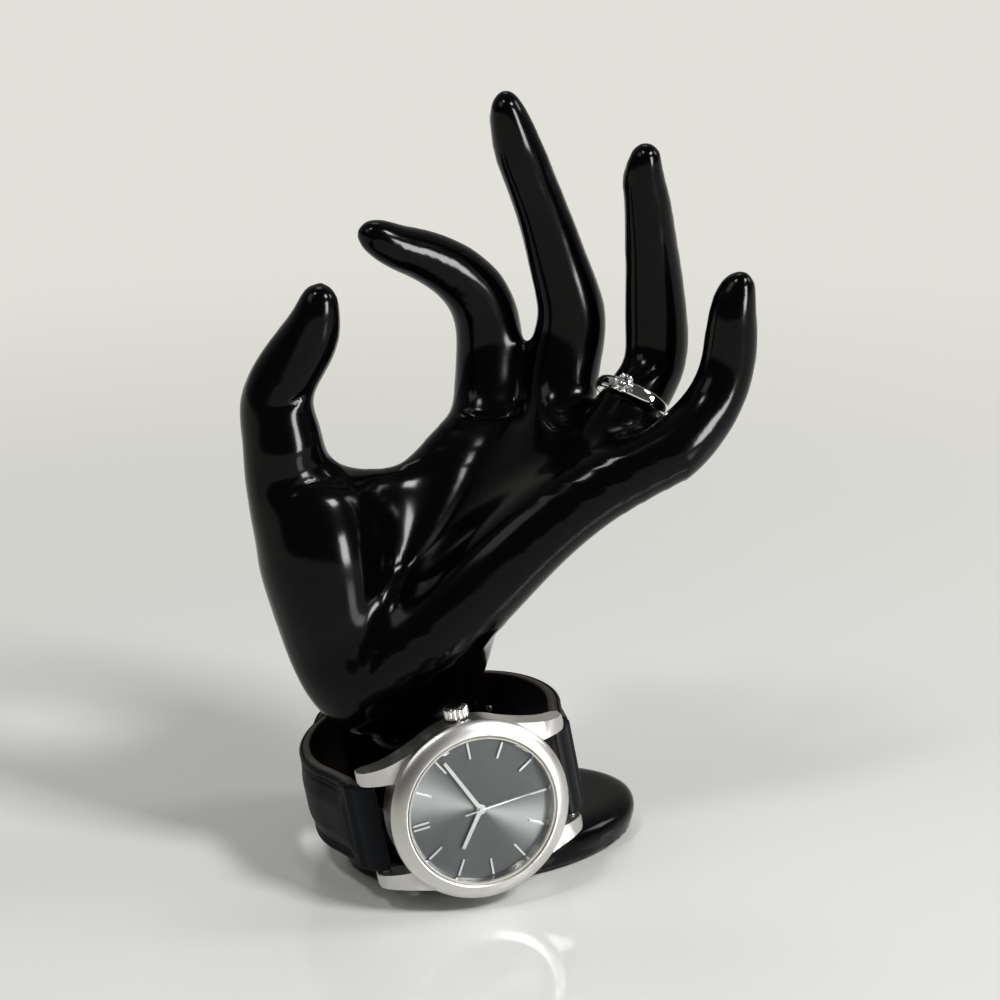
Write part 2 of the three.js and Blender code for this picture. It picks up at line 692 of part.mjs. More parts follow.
function band(from, to, offset, thickness, width) {
  const count = Math.ceil((to - from) / bandStep);
  return loft(Array.from({ length: count + 1 }, (_, i) => {
    const distance = from + ((to - from) * i) / count;
    const { point, outward } = strapLoop.at(distance);
    const low = offset(distance);
    const high = low + thickness(distance);
    const half = width(distance) / 2;
    return [
      [low, half - bandEdge], [low + bandEdge, half], [high - bandEdge, half], [high, half - bandEdge],
      [high, bandEdge - half], [high - bandEdge, -half], [low + bandEdge, -half], [low, bandEdge - half],
    ].map(([height, side]) => vec(
      point.x + outward.x * height,
      side + rise(point.y),
      point.y + outward.y * height,
    ));
  }));
}

const blendIn = (low, high) => (distance) => THREE.MathUtils.smoothstep(distance, low, high);
const buckleReach = 10;
const pivot = strapLoop.length / 2 - 3;
const layerRise = strapThickness + leatherGap;
const tailEnd = strapLoop.length / 2 + tailReach;
const barEdge = (distance) => Math.min(distance, strapLoop.length - distance);
const padding = (distance) => {
  const thinning = blendIn(padStart, paddedReach)(barEdge(distance));
  const padded = THREE.MathUtils.lerp(paddedThickness, strapThickness, thinning);
  return THREE.MathUtils.lerp(lugThickness, padded, blendIn(2, 8)(barEdge(distance)));
};
const paddedInside = (distance) => (
  -0.7 * blendIn(2, 8)(barEdge(distance)) * (padding(distance) - strapThickness)
);
const taper = (distance) => (
  THREE.MathUtils.lerp(strapWidth, buckleEndWidth, Math.min(barEdge(distance) / 50, 1))
);
const tailWidth = (distance) => (distance < pivot ? taper(distance)
  : buckleEndWidth - 9 * blendIn(tailEnd - 7, tailEnd)(distance));
const climb = (distance) => layerRise * blendIn(pivot - buckleReach, pivot - 0.5)(distance);

const buckle = (() => {
  const { point, heading, outward } = strapLoop.at(pivot - buckleReach / 2);
  const frame = new THREE.Matrix4().makeBasis(
    vec(-heading.x, 0, -heading.y),
    vec(0, -1, 0),
    vec(outward.x, 0, outward.y),
  );
  frame.setPosition(point.x, rise(point.y), point.y);
  return frame;
})();
const inBuckle = (geometry) => geometry.applyMatrix4(buckle);

const pivotHeight = strapThickness / 2 - 0.65;
const buckleBar = 0.9; // half the thickness of the frame
const farBarHeight = strapThickness + 1.2;
const slope = Math.atan2(farBarHeight - pivotHeight, buckleReach + 0.5);
const tongueHalf = 0.8;
const slotHalf = tongueHalf + 0.5;
const holePitch = 6.5;
const holeRadius = 0.9;

const barHole = (side) => alongY(rod(barRadius + 0.2, -strapWidth, strapWidth))
  .translate(side * barReach, 0, -barDepth);
const strapHole = (distance) => {
  const { point, outward } = strapLoop.at(distance);
  const turn = Math.atan2(outward.x, outward.y);
  return rod(holeRadius, -1, 4 * strapThickness, 10).rotateY(turn).translate(point.x, rise(point.y), point.y);
};
const slot = (from, to) => inBuckle(block(to - from, 2 * slotHalf, -4, 9).translate((from + to) / 2, 0, 0));
const tongueHole = pivot - buckleReach / 2;
const strapLong = cut(
  band(0, tailEnd, (distance) => climb(distance) + paddedInside(distance), padding, tailWidth),
  barHole(1),
  slot(-3, 2.7),
  ...[-2, -1, 1, 2, 3, 4].map((step) => strapHole(tongueHole + step * holePitch)),
);
const strapShort = cut(
  band(pivot - 1.7, strapLoop.length, paddedInside, padding, taper),
  barHole(-1),
  slot(-buckleReach / 2 - 1.6, buckleReach),
  inBuckle(alongY(rod(barRadius + 0.2, -strapWidth, strapWidth)).translate(-buckleReach / 2, 0, pivotHeight)),
);

const frameHalf = buckleEndWidth / 2 + leatherGap;
const rail = 1.9;
const buckleFrame = inBuckle(plate([
  [-1.2, frameHalf + rail], [-1.2, frameHalf], [buckleReach - 0.4, frameHalf], [buckleReach - 0.4, -frameHalf],
  [-1.2, -frameHalf], [-1.2, -frameHalf - rail], [buckleReach + 0.6, -frameHalf - rail],
  [buckleReach + rail - 0.4, -frameHalf - rail + 1], [buckleReach + rail - 0.4, frameHalf + rail - 1],
  [buckleReach + 0.6, frameHalf + rail],
].reverse(), -buckleBar, buckleBar).rotateY(-slope).translate(-buckleReach / 2, 0, pivotHeight));

const tongueLength = buckleReach + rail;
const tongueRise = Math.atan2(farBarHeight + buckleBar + 0.7 - pivotHeight, buckleReach);
const buckleTongue = inBuckle(cut(
  join(
    alongY(rod(barRadius + 0.65, -tongueHalf, tongueHalf)),
    block(tongueLength, 2 * tongueHalf, -0.45, 0.45).translate(tongueLength / 2, 0, 0).rotateY(-tongueRise),
  ),
  alongY(rod(barRadius + 0.15, -2, 2)),
).translate(-buckleReach / 2, 0, pivotHeight));

const keeperWall = 0.9;
const keeperLength = 5;
const keeperRise = 2 * strapThickness + 3 * leatherGap;
const keeperHalf = buckleEndWidth + 2 * leatherGap;
const always = (value) => () => value;
const keeper = (middle) => cut(
  band(middle - keeperLength / 2, middle + keeperLength / 2, always(-leatherGap - keeperWall),
    always(keeperRise + 2 * keeperWall), always(keeperHalf + 2 * keeperWall)),
  band(middle - keeperLength, middle + keeperLength, always(-leatherGap),
    always(keeperRise), always(keeperHalf)),
);
const freeKeeperTurn = 64 * degrees;
const freeKeeperMiddle = strapLoop.length / 2 + strapLoop.back.radius * (Math.PI / 2 - freeKeeperTurn);

const footEdgeTurn = (watchYaw - footTurn) * degrees - Math.PI / 2;
const footEdge = Math.hypot(
  (footLength / 2) * Math.cos(footEdgeTurn),
  (footWidth / 2) * Math.sin(footEdgeTurn),
);
const watchPlace = vec(watchAside, -footEdge - watchStandOff, watchHeight)
  .applyAxisAngle(vec(0, 0, 1), watchYaw * degrees)
  .add(vec(footPlace.x, footPlace.y, 0));
const watchTurn = new THREE.Matrix4().makeRotationZ(watchYaw * degrees)
  .multiply(new THREE.Matrix4().makeRotationX((90 - watchLean) * degrees))
  .multiply(new THREE.Matrix4().makeRotationZ(watchTwist * degrees));

const watch = new THREE.Group();
watch.applyMatrix4(watchTurn);
watch.position.copy(watchPlace);
display.add(watch);

piece(watch, 'watch_case', watchCase, brushedSteel);
piece(watch, 'bezel', bezel, brushedSteel);
piece(watch, 'crystal', rod(crystalRadius, crystalLow, crystalHigh, roundSides), clearGlass);
piece(watch, 'crystal_gasket', ringOf(crystalRadius + stackGap, crystalRadius + stackGap + gasketWidth,
  crystalLow, crystalHigh - 0.2), blackRubber);
piece(watch, 'flange_ring', flangeRing, polishedSteel);
piece(watch, 'dial', plate(circle(dialRadius, roundSides), dialLow, 0, [circle(postBore, 12)]), sunrayGrey);

for (let hour = 1; hour <= 12; hour++) {
  const spreads = hour === 12 ? [-1, 1] : [0];
  for (const side of spreads) {
    const name = `hour_marker_${hour}${side === 0 ? '' : side < 0 ? '_lower' : '_upper'}`;
    const bar = block(markerLength, markerWidth, stackGap, markerHigh)
      .translate((markerInner + markerOuter) / 2, (side * twinMarkerSpread) / 2, 0);
    piece(watch, name, bar.rotateZ(toClock(hour * 30)), polishedSteel);
  }
}

const hourHand = piece(watch, 'hour_hand', clockHand(hourHandLength, 0, 0.5, 0.42, 1.15, 0.55, hourLow),
  polishedSteel);
hourHand.rotation.z = toClock(hourAngle);
const minuteHand = piece(watch, 'minute_hand', clockHand(minuteHandLength, 0, 0.45, 0.38, 1, 0.55, minuteLow),
  polishedSteel);
minuteHand.rotation.z = toClock(minuteAngle);
const secondHand = piece(watch, 'second_hand', clockHand(secondHandLength, secondHandTail, 0.17, 0.12, 0.6, 0,
  secondLow), polishedSteel);
secondHand.rotation.z = toClock(secondAngle);

piece(watch, 'movement', join(
  rod(movementRadius, movementLow, movementHigh, 32),
  rod(0.4, movementHigh - 1, secondLow - stackGap, 10),
), movementBrass);
piece(watch, 'movement_holder', cut(
  ringOf(movementRadius + stackGap, caseBore - stackGap, movementLow, movementHigh, 32),
  stemBore,
), paleNylon);

const crownLow = bezelRadius + 0.1;
piece(watch, 'crown_stem', alongY(rod(stemRadius, movementRadius + leatherGap, crownLow - stackGap, 12))
  .translate(0, 0, -crownDepth), polishedSteel);
piece(watch, 'crown', alongY(plate(fluted(crownRadius, crownFlutes, 0.45), crownLow, crownLow + crownLength))
  .translate(0, 0, -crownDepth), polishedSteel);
piece(watch, 'case_back', caseBack, brushedSteel);
piece(watch, 'back_gasket', ringOf(caseBore, backRadius - 0.5 - stackGap, -caseDepth,
  -caseDepth + 0.6 - stackGap, 32), blackRubber);

for (const [side, hour] of [[-1, 12], [1, 6]]) {
  const bar = alongY(rod(barRadius, -lugInner + stackGap, lugInner - stackGap, 12));
  piece(watch, `spring_bar_${hour}`, bar.translate(side * barReach, 0, -barDepth), polishedSteel);
}
piece(watch, 'strap_long', strapLong, blackLeather);
piece(watch, 'strap_short', strapShort, blackLeather);
piece(watch, 'buckle_frame', buckleFrame, polishedSteel);
piece(watch, 'buckle_tongue', buckleTongue, polishedSteel);
piece(watch, 'buckle_bar', inBuckle(alongY(rod(barRadius - 0.1, -frameHalf + stackGap, frameHalf - stackGap, 12))
  .translate(-buckleReach / 2, 0, pivotHeight)), polishedSteel);
piece(watch, 'keeper_fixed', keeper(pivot + 9), blackLeather);
piece(watch, 'keeper_free', keeper(freeKeeperMiddle), blackLeather);

// Ring: local Z runs along the finger toward its tip, and X points out to the stone

const ringSeat = 1.45; // joints along the ring finger, from its root
const ringAxis = vec(0.45, 0.44, 0.77).normalize(); // a loose ring settles a little askew
const stoneToward = vec(-0.25, -0.76, 0.62);
const ringBore = 8.3;
const shankThickness = 1;
const shankWidth = 1.8;
const shoulderThickness = 1.35;
const shoulderWidth = 3;
const stoneRadius = 1.9;
const stoneCrown = 0.65;
const stonePavilion = 1.6;

const ring = new THREE.Group();
const outX = stoneToward.clone().addScaledVector(ringAxis, -stoneToward.dot(ringAxis)).normalize();
ring.applyMatrix4(new THREE.Matrix4().makeBasis(outX, ringAxis.clone().cross(outX), ringAxis));
ring.position.copy(pointAlong(ringFingerSpheres, ringSeat));
display.add(ring);

const shankSides = 36;
const shank = loft(Array.from({ length: shankSides }, (_, i) => {
  const angle = (i / shankSides) * 2 * Math.PI;
  const nearStone = THREE.MathUtils.smoothstep(Math.cos(angle), 0, 0.95);
  const half = THREE.MathUtils.lerp(shankWidth, shoulderWidth, nearStone) / 2;
  const outer = ringBore + THREE.MathUtils.lerp(shankThickness, shoulderThickness, nearStone);
  return [
    [ringBore, half - 0.2], [ringBore + 0.2, half], [outer - 0.4, half - 0.1], [outer, half * 0.4],
    [outer, -half * 0.4], [outer - 0.4, 0.1 - half], [ringBore + 0.2, -half], [ringBore, 0.2 - half],
  ].map(([radius, side]) => vec(radius * Math.cos(angle), radius * Math.sin(angle), side));
}), true);

const ringOuter = ringBore + shoulderThickness;
const headLow = ringBore + 0.3;
const girdle = headLow + 0.8 + stonePavilion;
const clawLow = ringOuter + 0.15;
const clawHigh = girdle + 0.45;
const outward = (geometry) => geometry.rotateY(Math.PI / 2); // stock that stood on Z now points to +X
const headRoom = outward(rod(1.5, ringBore - 1, ringOuter + 2));
const basket = turned([
  [0.5, headLow], [1.2, headLow], [1.2, ringOuter], [stoneRadius + 0.25, girdle - 0.25],
  [stoneRadius - 0.1, girdle - 0.25], [0.5, headLow + 0.8],
], smallSides);
const clawCount = 6;
const claw = (i) => new THREE.CylinderGeometry(0.24, 0.3, clawHigh - clawLow, 6).rotateX(Math.PI / 2)
  .rotateY(0.18).translate(stoneRadius + 0.12, 0, (clawHigh + clawLow) / 2)
  .rotateZ(((i + 0.5) / clawCount) * 2 * Math.PI);
const stone = turned([
  [0, girdle - stonePavilion], [stoneRadius - 0.12, girdle - 0.1], [stoneRadius - 0.12, girdle + 0.05],
  [stoneRadius * 0.57, girdle + stoneCrown], [0, girdle + stoneCrown],
], 16);
const head = cut(
  join(basket, ...Array.from({ length: clawCount }, (_, i) => claw(i))),
  turned([
    [0, girdle - stonePavilion - 0.3], [stoneRadius, girdle - 0.22], [stoneRadius, girdle + 0.2],
    [stoneRadius * 0.57 + 0.3, girdle + stoneCrown + 0.3], [0, girdle + stoneCrown + 0.3],
  ], 16),
);
piece(ring, 'ring_shank', cut(shank, headRoom), rhodium);
piece(ring, 'ring_head', outward(head), rhodium);
piece(ring, 'ring_stone', outward(stone), diamond);

export default display;
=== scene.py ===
import json
import math

import bmesh
import bpy
from mathutils import Matrix, Vector
from mathutils.geometry import interpolate_bezier
from mathutils.kdtree import KDTree


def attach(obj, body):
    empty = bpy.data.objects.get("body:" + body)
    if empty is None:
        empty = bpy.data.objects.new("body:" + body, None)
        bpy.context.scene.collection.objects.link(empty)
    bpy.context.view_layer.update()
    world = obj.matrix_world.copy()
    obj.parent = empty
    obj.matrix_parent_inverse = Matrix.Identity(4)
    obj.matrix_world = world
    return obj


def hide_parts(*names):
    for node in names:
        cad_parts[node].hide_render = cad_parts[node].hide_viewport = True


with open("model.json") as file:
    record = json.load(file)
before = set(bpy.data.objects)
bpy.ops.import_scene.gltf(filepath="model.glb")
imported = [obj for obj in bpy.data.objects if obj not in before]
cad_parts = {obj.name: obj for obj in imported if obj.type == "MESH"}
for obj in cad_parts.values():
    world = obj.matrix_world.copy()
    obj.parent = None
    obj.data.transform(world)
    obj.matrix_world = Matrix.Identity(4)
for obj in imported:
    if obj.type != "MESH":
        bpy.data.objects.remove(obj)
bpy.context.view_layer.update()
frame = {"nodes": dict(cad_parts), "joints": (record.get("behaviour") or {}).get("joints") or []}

# A glossy black hand that displays a wristwatch and a ring.
# Settings are millimetres and degrees unless a note says otherwise.

scene = bpy.context.scene
mm = 0.001
jointNamed = {joint["name"]: joint for joint in frame["joints"]}
print("frame loaded,", len(frame["nodes"]), "nodes")


# Where the watch and the ring lie, read from their joints

def placed(origin, across, up):
    along = across.cross(up).normalized()
    turn = Matrix((along, across.normalized(), up.normalized())).transposed().to_4x4()
    return Matrix.Translation(origin) @ turn


dialNormal = -Vector(jointNamed["minute_turn"]["axis"])
crownWay = Vector(jointNamed["crown_pull"]["axis"])
watchFrame = placed(Vector(jointNamed["minute_turn"]["pos_m"]), crownWay, dialNormal)
watchPlace = watchFrame @ Matrix.Scale(mm, 4)  # X to 6 o'clock, Y to the crown, Z out of the dial

ringSettings = {
    "centre": (29.65, 2.75, 102.16),
    "stoneWay": (-0.2608, -0.7646, 0.5894),
    "bore": 8.3,
    "wall": 1.0,
    "width": 1.8,
    "shoulderWall": 1.35,
    "shoulderWidth": 3.0,
    "stoneRadius": 1.9,
    "steps": 120,
    "squareness": 0.72,
    "basketLow": 0.3,  # above the bore
    "girdle": 2.4,  # above the basket's low end
    "claws": 6,
    "clawLean": 0.16,  # radians
}
fingerWay = Vector(jointNamed["ring_slide"]["axis"]).normalized()
stoneWay = Vector(ringSettings["stoneWay"])
ringFrame = placed(Vector(ringSettings["centre"]) * mm, fingerWay.cross(stoneWay), fingerWay)
ringPlace = ringFrame @ Matrix.Scale(mm, 4)  # X to the stone, Z along the finger


# Shader building: a wired socket takes part in sums, and one method adds every other node

class Wire:
    def __init__(self, shader, socket):
        self.shader = shader
        self.socket = socket

    def maths(self, operation, *values):
        inputs = {i: value for i, value in enumerate(values)}
        return self.shader.add("Math", {"operation": operation}, inputs)

    def __add__(self, other):
        return self.maths("ADD", self, other)

    def __sub__(self, other):
        return self.maths("SUBTRACT", self, other)

    def __rsub__(self, other):
        return self.maths("SUBTRACT", other, self)

    def __mul__(self, other):
        return self.maths("MULTIPLY", self, other)

    def __pow__(self, other):
        return self.maths("POWER", self, other)

    __radd__ = __add__
    __rmul__ = __mul__


class Finish:
    def __init__(self, name, **constants):
        self.material = bpy.data.materials.new(name)
        self.material.use_nodes = True
        self.tree = self.material.node_tree
        self.surface = self.tree.nodes["Principled BSDF"]
        for label, value in constants.items():
            self.surface.inputs[label.replace("_", " ")].default_value = value

    def add(self, kind, settings=None, inputs=None, output=0):
        node = self.tree.nodes.new("ShaderNode" + kind)
        for key, value in (settings or {}).items():
            if key == "stops":
                ramp = node.color_ramp
                while len(ramp.elements) < len(value):
                    ramp.elements.new(0.5)
                for stop, (position, colour) in zip(ramp.elements, value):
                    stop.position = position
                    stop.color = colour if len(colour) == 4 else (*colour, 1)
            else:
                setattr(node, key, value)
        for key, value in (inputs or {}).items():
            self.feed(node.inputs[key], value)
        return Wire(self, node.outputs[output])

    def feed(self, socket, value):
        if isinstance(value, Wire):
            self.tree.links.new(value.socket, socket)
        else:
            socket.default_value = value

    def set(self, label, value):
        self.feed(self.surface.inputs[label], value)

    def spots(self, scale, detail=2.0, roughness=0.5, where=None):
        inputs = {"Scale": scale, "Detail": detail, "Roughness": roughness}
        if where is None:
            where = self.add("TexCoord", output="Object")
        inputs["Vector"] = where
        return self.add("TexNoise", None, inputs, "Fac")

    def ramp(self, factor, *stops):
        return self.add("ValToRGB", {"stops": stops}, {"Fac": factor}, "Color")

    def between(self, factor, low, high):
        return self.add("MapRange", {"clamp": True}, {
            "Value": factor, "From Min": 0.0, "From Max": 1.0, "To Min": low, "To Max": high,
        })

    def relief(self, height, strength, distance):
        bump = self.add("Bump", None, {"Height": height, "Strength": strength, "Distance": distance * mm})
        self.set("Normal", bump)

    def local(self, place):
        # object coordinates seen from a turned piece's own frame, in metres
        return self.add("Mapping", {"vector_type": "TEXTURE"}, {
            "Vector": self.add("TexCoord", output="Object"),
            "Location": place.to_translation(),
            "Rotation": place.to_euler(),
        })

    def polar(self, place):
        parts = self.add("SeparateXYZ", None, {"Vector": self.local(place)})
        x = Wire(self, parts.socket.node.outputs["X"])
        y = Wire(self, parts.socket.node.outputs["Y"])
        radius = (x * x + y * y) ** 0.5
        return radius, y.maths("ARCTAN2", y, x)

    def joined(self, x, y, z=0.0):
        return self.add("CombineXYZ", None, {"X": x, "Y": y, "Z": z})


# Finishes

def blackLacquer():
    made = Finish("blackLacquer", Base_Color=(0.0012, 0.0013, 0.0016, 1), IOR=1.24)
    wide = made.spots(60.0, 3.0)
    fine = made.spots(900.0, 2.0)
    made.set("Roughness", made.between(wide * 0.7 + fine * 0.3, 0.12, 0.17))
    made.relief(made.spots(260.0, 1.0), 0.04, 0.1)
    return made.material


def brushedRound(name, place, low, high, colour):
    # circular satin lines round the place's Z axis
    made = Finish(name, Metallic=1.0, Base_Color=colour)
    radius, angle = made.polar(place)
    lines = made.spots(1.0, 4.0, 0.7, made.joined(radius * 9000.0, angle * 3.0))
    broad = made.spots(1.0, 2.0, 0.5, made.joined(radius * 900.0, angle * 2.0))
    made.set("Roughness", made.between(lines * 0.5 + broad * 0.5, low, high))
    made.relief(lines, 0.12, 0.02)
    return made.material


def brushedStraight(name, place, low, high, colour):
    # satin lines along the place's X axis
    made = Finish(name, Metallic=1.0, Base_Color=colour)
    parts = made.add("SeparateXYZ", None, {"Vector": made.local(place)})
    y = Wire(made, parts.socket.node.outputs["Y"])
    x = Wire(made, parts.socket.node.outputs["X"])
    z = Wire(made, parts.socket.node.outputs["Z"])
    lines = made.spots(1.0, 3.0, 0.6, made.joined(x * 260.0, y * 7000.0, z * 7000.0))
    made.set("Roughness", made.between(lines, low, high))
    made.relief(lines, 0.1, 0.02)
    return made.material


def polished(name, colour, low=0.04, high=0.12):
    made = Finish(name, Metallic=1.0, Base_Color=colour)
    made.set("Roughness", made.between(made.spots(1500.0, 3.0), low, high))
    return made.material


def sunrayDialPaintedSheen():
    # fine lines run out from the middle, and two opposite wedges are painted lighter: a painted highlight,
    # fixed on the dial, that stands in for the lines' reflection
    made = Finish("sunrayDialPaintedSheen", Metallic=1.0)
    radius, angle = made.polar(watchFrame)
    rays = made.spots(1.0, 2.0, 0.6, made.joined(angle * 120.0, radius * 8.0))
    highlightTurn, narrowness = 0.48, 16.0  # radians, and the power that narrows the wedges
    shifted = angle + highlightTurn
    facing = shifted.maths("COSINE", shifted)
    facing = facing.maths("ABSOLUTE", facing)
    # painted highlight: the two lighter wedges, with the rays' fine tone added to them
    paintedHighlight = facing ** narrowness * 0.8 + (rays - 0.5) * 0.2
    made.set("Base Color", made.ramp(paintedHighlight, (0.0, (0.095, 0.098, 0.1)), (0.9, (0.5, 0.51, 0.51))))
    made.set("Roughness", made.between(rays, 0.3, 0.36))
    return made.material


def clearCrystal():
    made = Finish("clearCrystal")
    clear = made.add("BsdfTransparent", None, {"Color": (0.97, 0.98, 0.98, 1)})
    gloss = made.add("BsdfGlossy", None, {"Color": (1, 1, 1, 1), "Roughness": 0.02})
    # a Fresnel node would turn the inner faces into mirrors at a slant, and hide the dial
    slant = made.add("LayerWeight", None, {"Blend": 0.5}, "Facing")
    share = slant ** 5.0 * 0.966 + 0.034
    mixed = made.add("MixShader", None, {0: share, 1: clear, 2: gloss})
    output = made.tree.nodes["Material Output"]
    made.tree.links.new(mixed.socket, output.inputs["Surface"])
    return made.material


def rubber():
    made = Finish("blackRubber", Base_Color=(0.012, 0.012, 0.012, 1), Roughness=0.6)
    made.relief(made.spots(2500.0), 0.2, 0.05)
    return made.material


def dullBrass():
    made = Finish("platedBrass", Metallic=1.0, Roughness=0.35)
    tint = made.spots(700.0, 3.0)
    made.set("Base Color", made.ramp(tint, (0.3, (0.5, 0.42, 0.25)), (0.7, (0.66, 0.58, 0.38))))
    return made.material


def paleNylon():
    made = Finish("paleNylon", Roughness=0.55)
    tint = made.spots(400.0, 2.0)
    made.set("Base Color", made.ramp(tint, (0.3, (0.66, 0.63, 0.55)), (0.7, (0.75, 0.72, 0.65))))
    made.relief(made.spots(3000.0), 0.15, 0.03)
    return made.material


def blackFelt():
    made = Finish("blackFelt", Roughness=0.95, Sheen_Weight=0.4)
    tint = made.spots(3000.0, 4.0)
    made.set("Base Color", made.ramp(tint, (0.3, (0.01, 0.01, 0.01)), (0.7, (0.035, 0.035, 0.036))))
    made.relief(tint, 0.6, 0.15)
    return made.material


def strapLeather():
    # the attribute "layer" runs from the lining, 0, to the outer face, 1
    made = Finish("strapLeather", IOR=1.45, Specular_IOR_Level=0.12)
    layer = made.add("Attribute", {"attribute_name": "layer"}, output="Fac")
    where = made.add("UVMap", {"uv_map": "leather"})
    grain = made.add("TexVoronoi", {"feature": "SMOOTH_F1"}, {"Vector": where, "Scale": 14.0}, "Distance")
    pores = made.spots(40.0, 3.0, 0.6, where)
    tone = made.spots(3.0, 2.0, 0.5, where)
    stack = made.ramp(
        layer,
        (0.0, (0.016, 0.010, 0.007)), (0.10, (0.020, 0.012, 0.008)), (0.16, (0.060, 0.045, 0.034)),
        (0.34, (0.055, 0.042, 0.033)), (0.40, (0.006, 0.006, 0.006)), (0.48, (0.070, 0.068, 0.064)),
        (0.62, (0.060, 0.058, 0.055)), (0.70, (0.008, 0.008, 0.008)), (0.78, (0.050, 0.050, 0.048)),
        (0.90, (0.006, 0.006, 0.007)), (1.0, (0.0035, 0.0045, 0.007)),
    )
    shade = made.between(tone, 0.8, 1.2)
    shaded = made.add("VectorMath", {"operation": "SCALE"}, {"Vector": stack, "Scale": shade})
    made.set("Base Color", shaded)
    made.set("Roughness", made.between(pores, 0.34, 0.52))
    made.relief(grain * 0.6 + pores * 0.4, 0.25, 0.08)
    return made.material


def plainLeather():
    made = Finish("keeperLeather", IOR=1.45, Specular_IOR_Level=0.12)
    pores = made.spots(2600.0, 3.0)
    tone = made.spots(200.0, 2.0)
    made.set("Base Color", made.ramp(tone, (0.3, (0.003, 0.004, 0.006)), (0.7, (0.006, 0.007, 0.01))))
    made.set("Roughness", made.between(pores, 0.36, 0.55))
    made.relief(pores, 0.25, 0.06)
    return made.material


def facetedStone():
    made = Finish("facetedStone", Transmission_Weight=1.0, IOR=2.1, Roughness=0.0)
    tint = made.spots(1200.0, 2.0)
    made.set("Base Color", made.ramp(tint, (0.3, (0.93, 0.94, 0.96)), (0.7, (1.0, 1.0, 1.0))))
    return made.material


lacquer = blackLacquer()
steelTone = (0.62, 0.61, 0.58, 1)
brightTone = (0.78, 0.77, 0.74, 1)
caseSteel = brushedStraight("caseSteel", watchFrame, 0.3, 0.42, steelTone)
bezelSteel = brushedRound("bezelSteel", watchFrame, 0.28, 0.38, steelTone)
polishedSteel = polished("polishedSteel", brightTone)
markerSteel = polished("markerSteel", (0.78, 0.77, 0.75, 1), 0.25, 0.35)
whiteMetal = polished("whiteMetal", (0.86, 0.86, 0.85, 1), 0.03, 0.08)
dialGrey = sunrayDialPaintedSheen()
crystalClear = clearCrystal()
gasketRubber = rubber()
sealNylon = paleNylon()
leather = strapLeather()
keeperLeather = plainLeather()
stoneClear = facetedStone()
print("finishes ready")


# Shape helpers

def turned(profile, steps=128, closed=True):
    # a profile of (radius, height) spun round Z
    shape = bmesh.new()
    points = [shape.verts.new((radius, 0, height)) for radius, height in profile]
    pairs = list(zip(points, points[1:] + points[:1]))
    edges = [shape.edges.new(pair) for pair in (pairs if closed else pairs[:-1])]
    bmesh.ops.spin(
        shape, geom=points + edges, cent=(0, 0, 0), axis=(0, 0, 1), dvec=(0, 0, 0),
        angle=2 * math.pi, steps=steps, use_merge=True, use_duplicate=False,
    )
    bmesh.ops.remove_doubles(shape, verts=shape.verts, dist=1e-4)
    bmesh.ops.recalc_face_normals(shape, faces=shape.faces)
    return shape


def soften(shape, width, segments=2, sharper=30):
    sharp = [
        edge for edge in shape.edges
        if len(edge.link_faces) == 2 and edge.calc_face_angle(0) > math.radians(sharper)
    ]
    bmesh.ops.bevel(
        shape, geom=sharp, offset=width, offset_type="OFFSET", segments=segments,
        profile=0.5, affect="EDGES", clamp_overlap=True, material=-1,
    )
    return shape


def slab(outline, low, high):
    # a flat outline of (x, y) given its thickness
    shape = bmesh.new()
    face = shape.faces.new([shape.verts.new((x, y, low)) for x, y in outline])
    raised = bmesh.ops.extrude_face_region(shape, geom=[face], use_keep_orig=True)["geom"]
    verts = [part for part in raised if isinstance(part, bmesh.types.BMVert)]
    bmesh.ops.translate(shape, verts=verts, vec=(0, 0, high - low))
    bmesh.ops.recalc_face_normals(shape, faces=shape.faces)
    return shape


def asObject(name, shape):
    mesh = bpy.data.meshes.new(name)
    shape.to_mesh(mesh)
    shape.free()
    made = bpy.data.objects.new(name, mesh)
    scene.collection.objects.link(made)
    return made


def applied(made):
    # works the object's modifiers into its mesh
    graph = bpy.context.evaluated_depsgraph_get()
    mesh = bpy.data.meshes.new_from_object(made.evaluated_get(graph))
    made.modifiers.clear()
    made.data = mesh


def combined(made, operation, *others):
    for other in others:
        step = made.modifiers.new("combine", "BOOLEAN")
        step.operation = operation
        step.solver = "EXACT"
        step.object = other
    applied(made)
    for other in others:
        bpy.data.objects.remove(other)


def finishPiece(made, place, body, material, replaced, crisp=32):
    made.data.transform(place)
    made.data.materials.clear()
    made.data.materials.append(material)
    for face in made.data.polygons:
        face.use_smooth = True
    made.data.set_sharp_from_angle(angle=math.radians(crisp))
    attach(made, body)
    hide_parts(*replaced)


def cadCopy(node):
    # a merged copy of a CAD node, in millimetres
    shape = bmesh.new()
    shape.from_mesh(frame["nodes"][node].data)
    bmesh.ops.remove_doubles(shape, verts=shape.verts, dist=1e-6)
    bmesh.ops.dissolve_limit(
        shape, angle_limit=math.radians(1), verts=shape.verts, edges=shape.edges,
    )
    bmesh.ops.scale(shape, vec=(1 / mm,) * 3, verts=shape.verts)
    return shape


millimetres = Matrix.Scale(mm, 4)


def smooth(value, low, high):
    share = min(max((value - low) / (high - low), 0), 1)
    return share * share * (3 - 2 * share)


# The hand

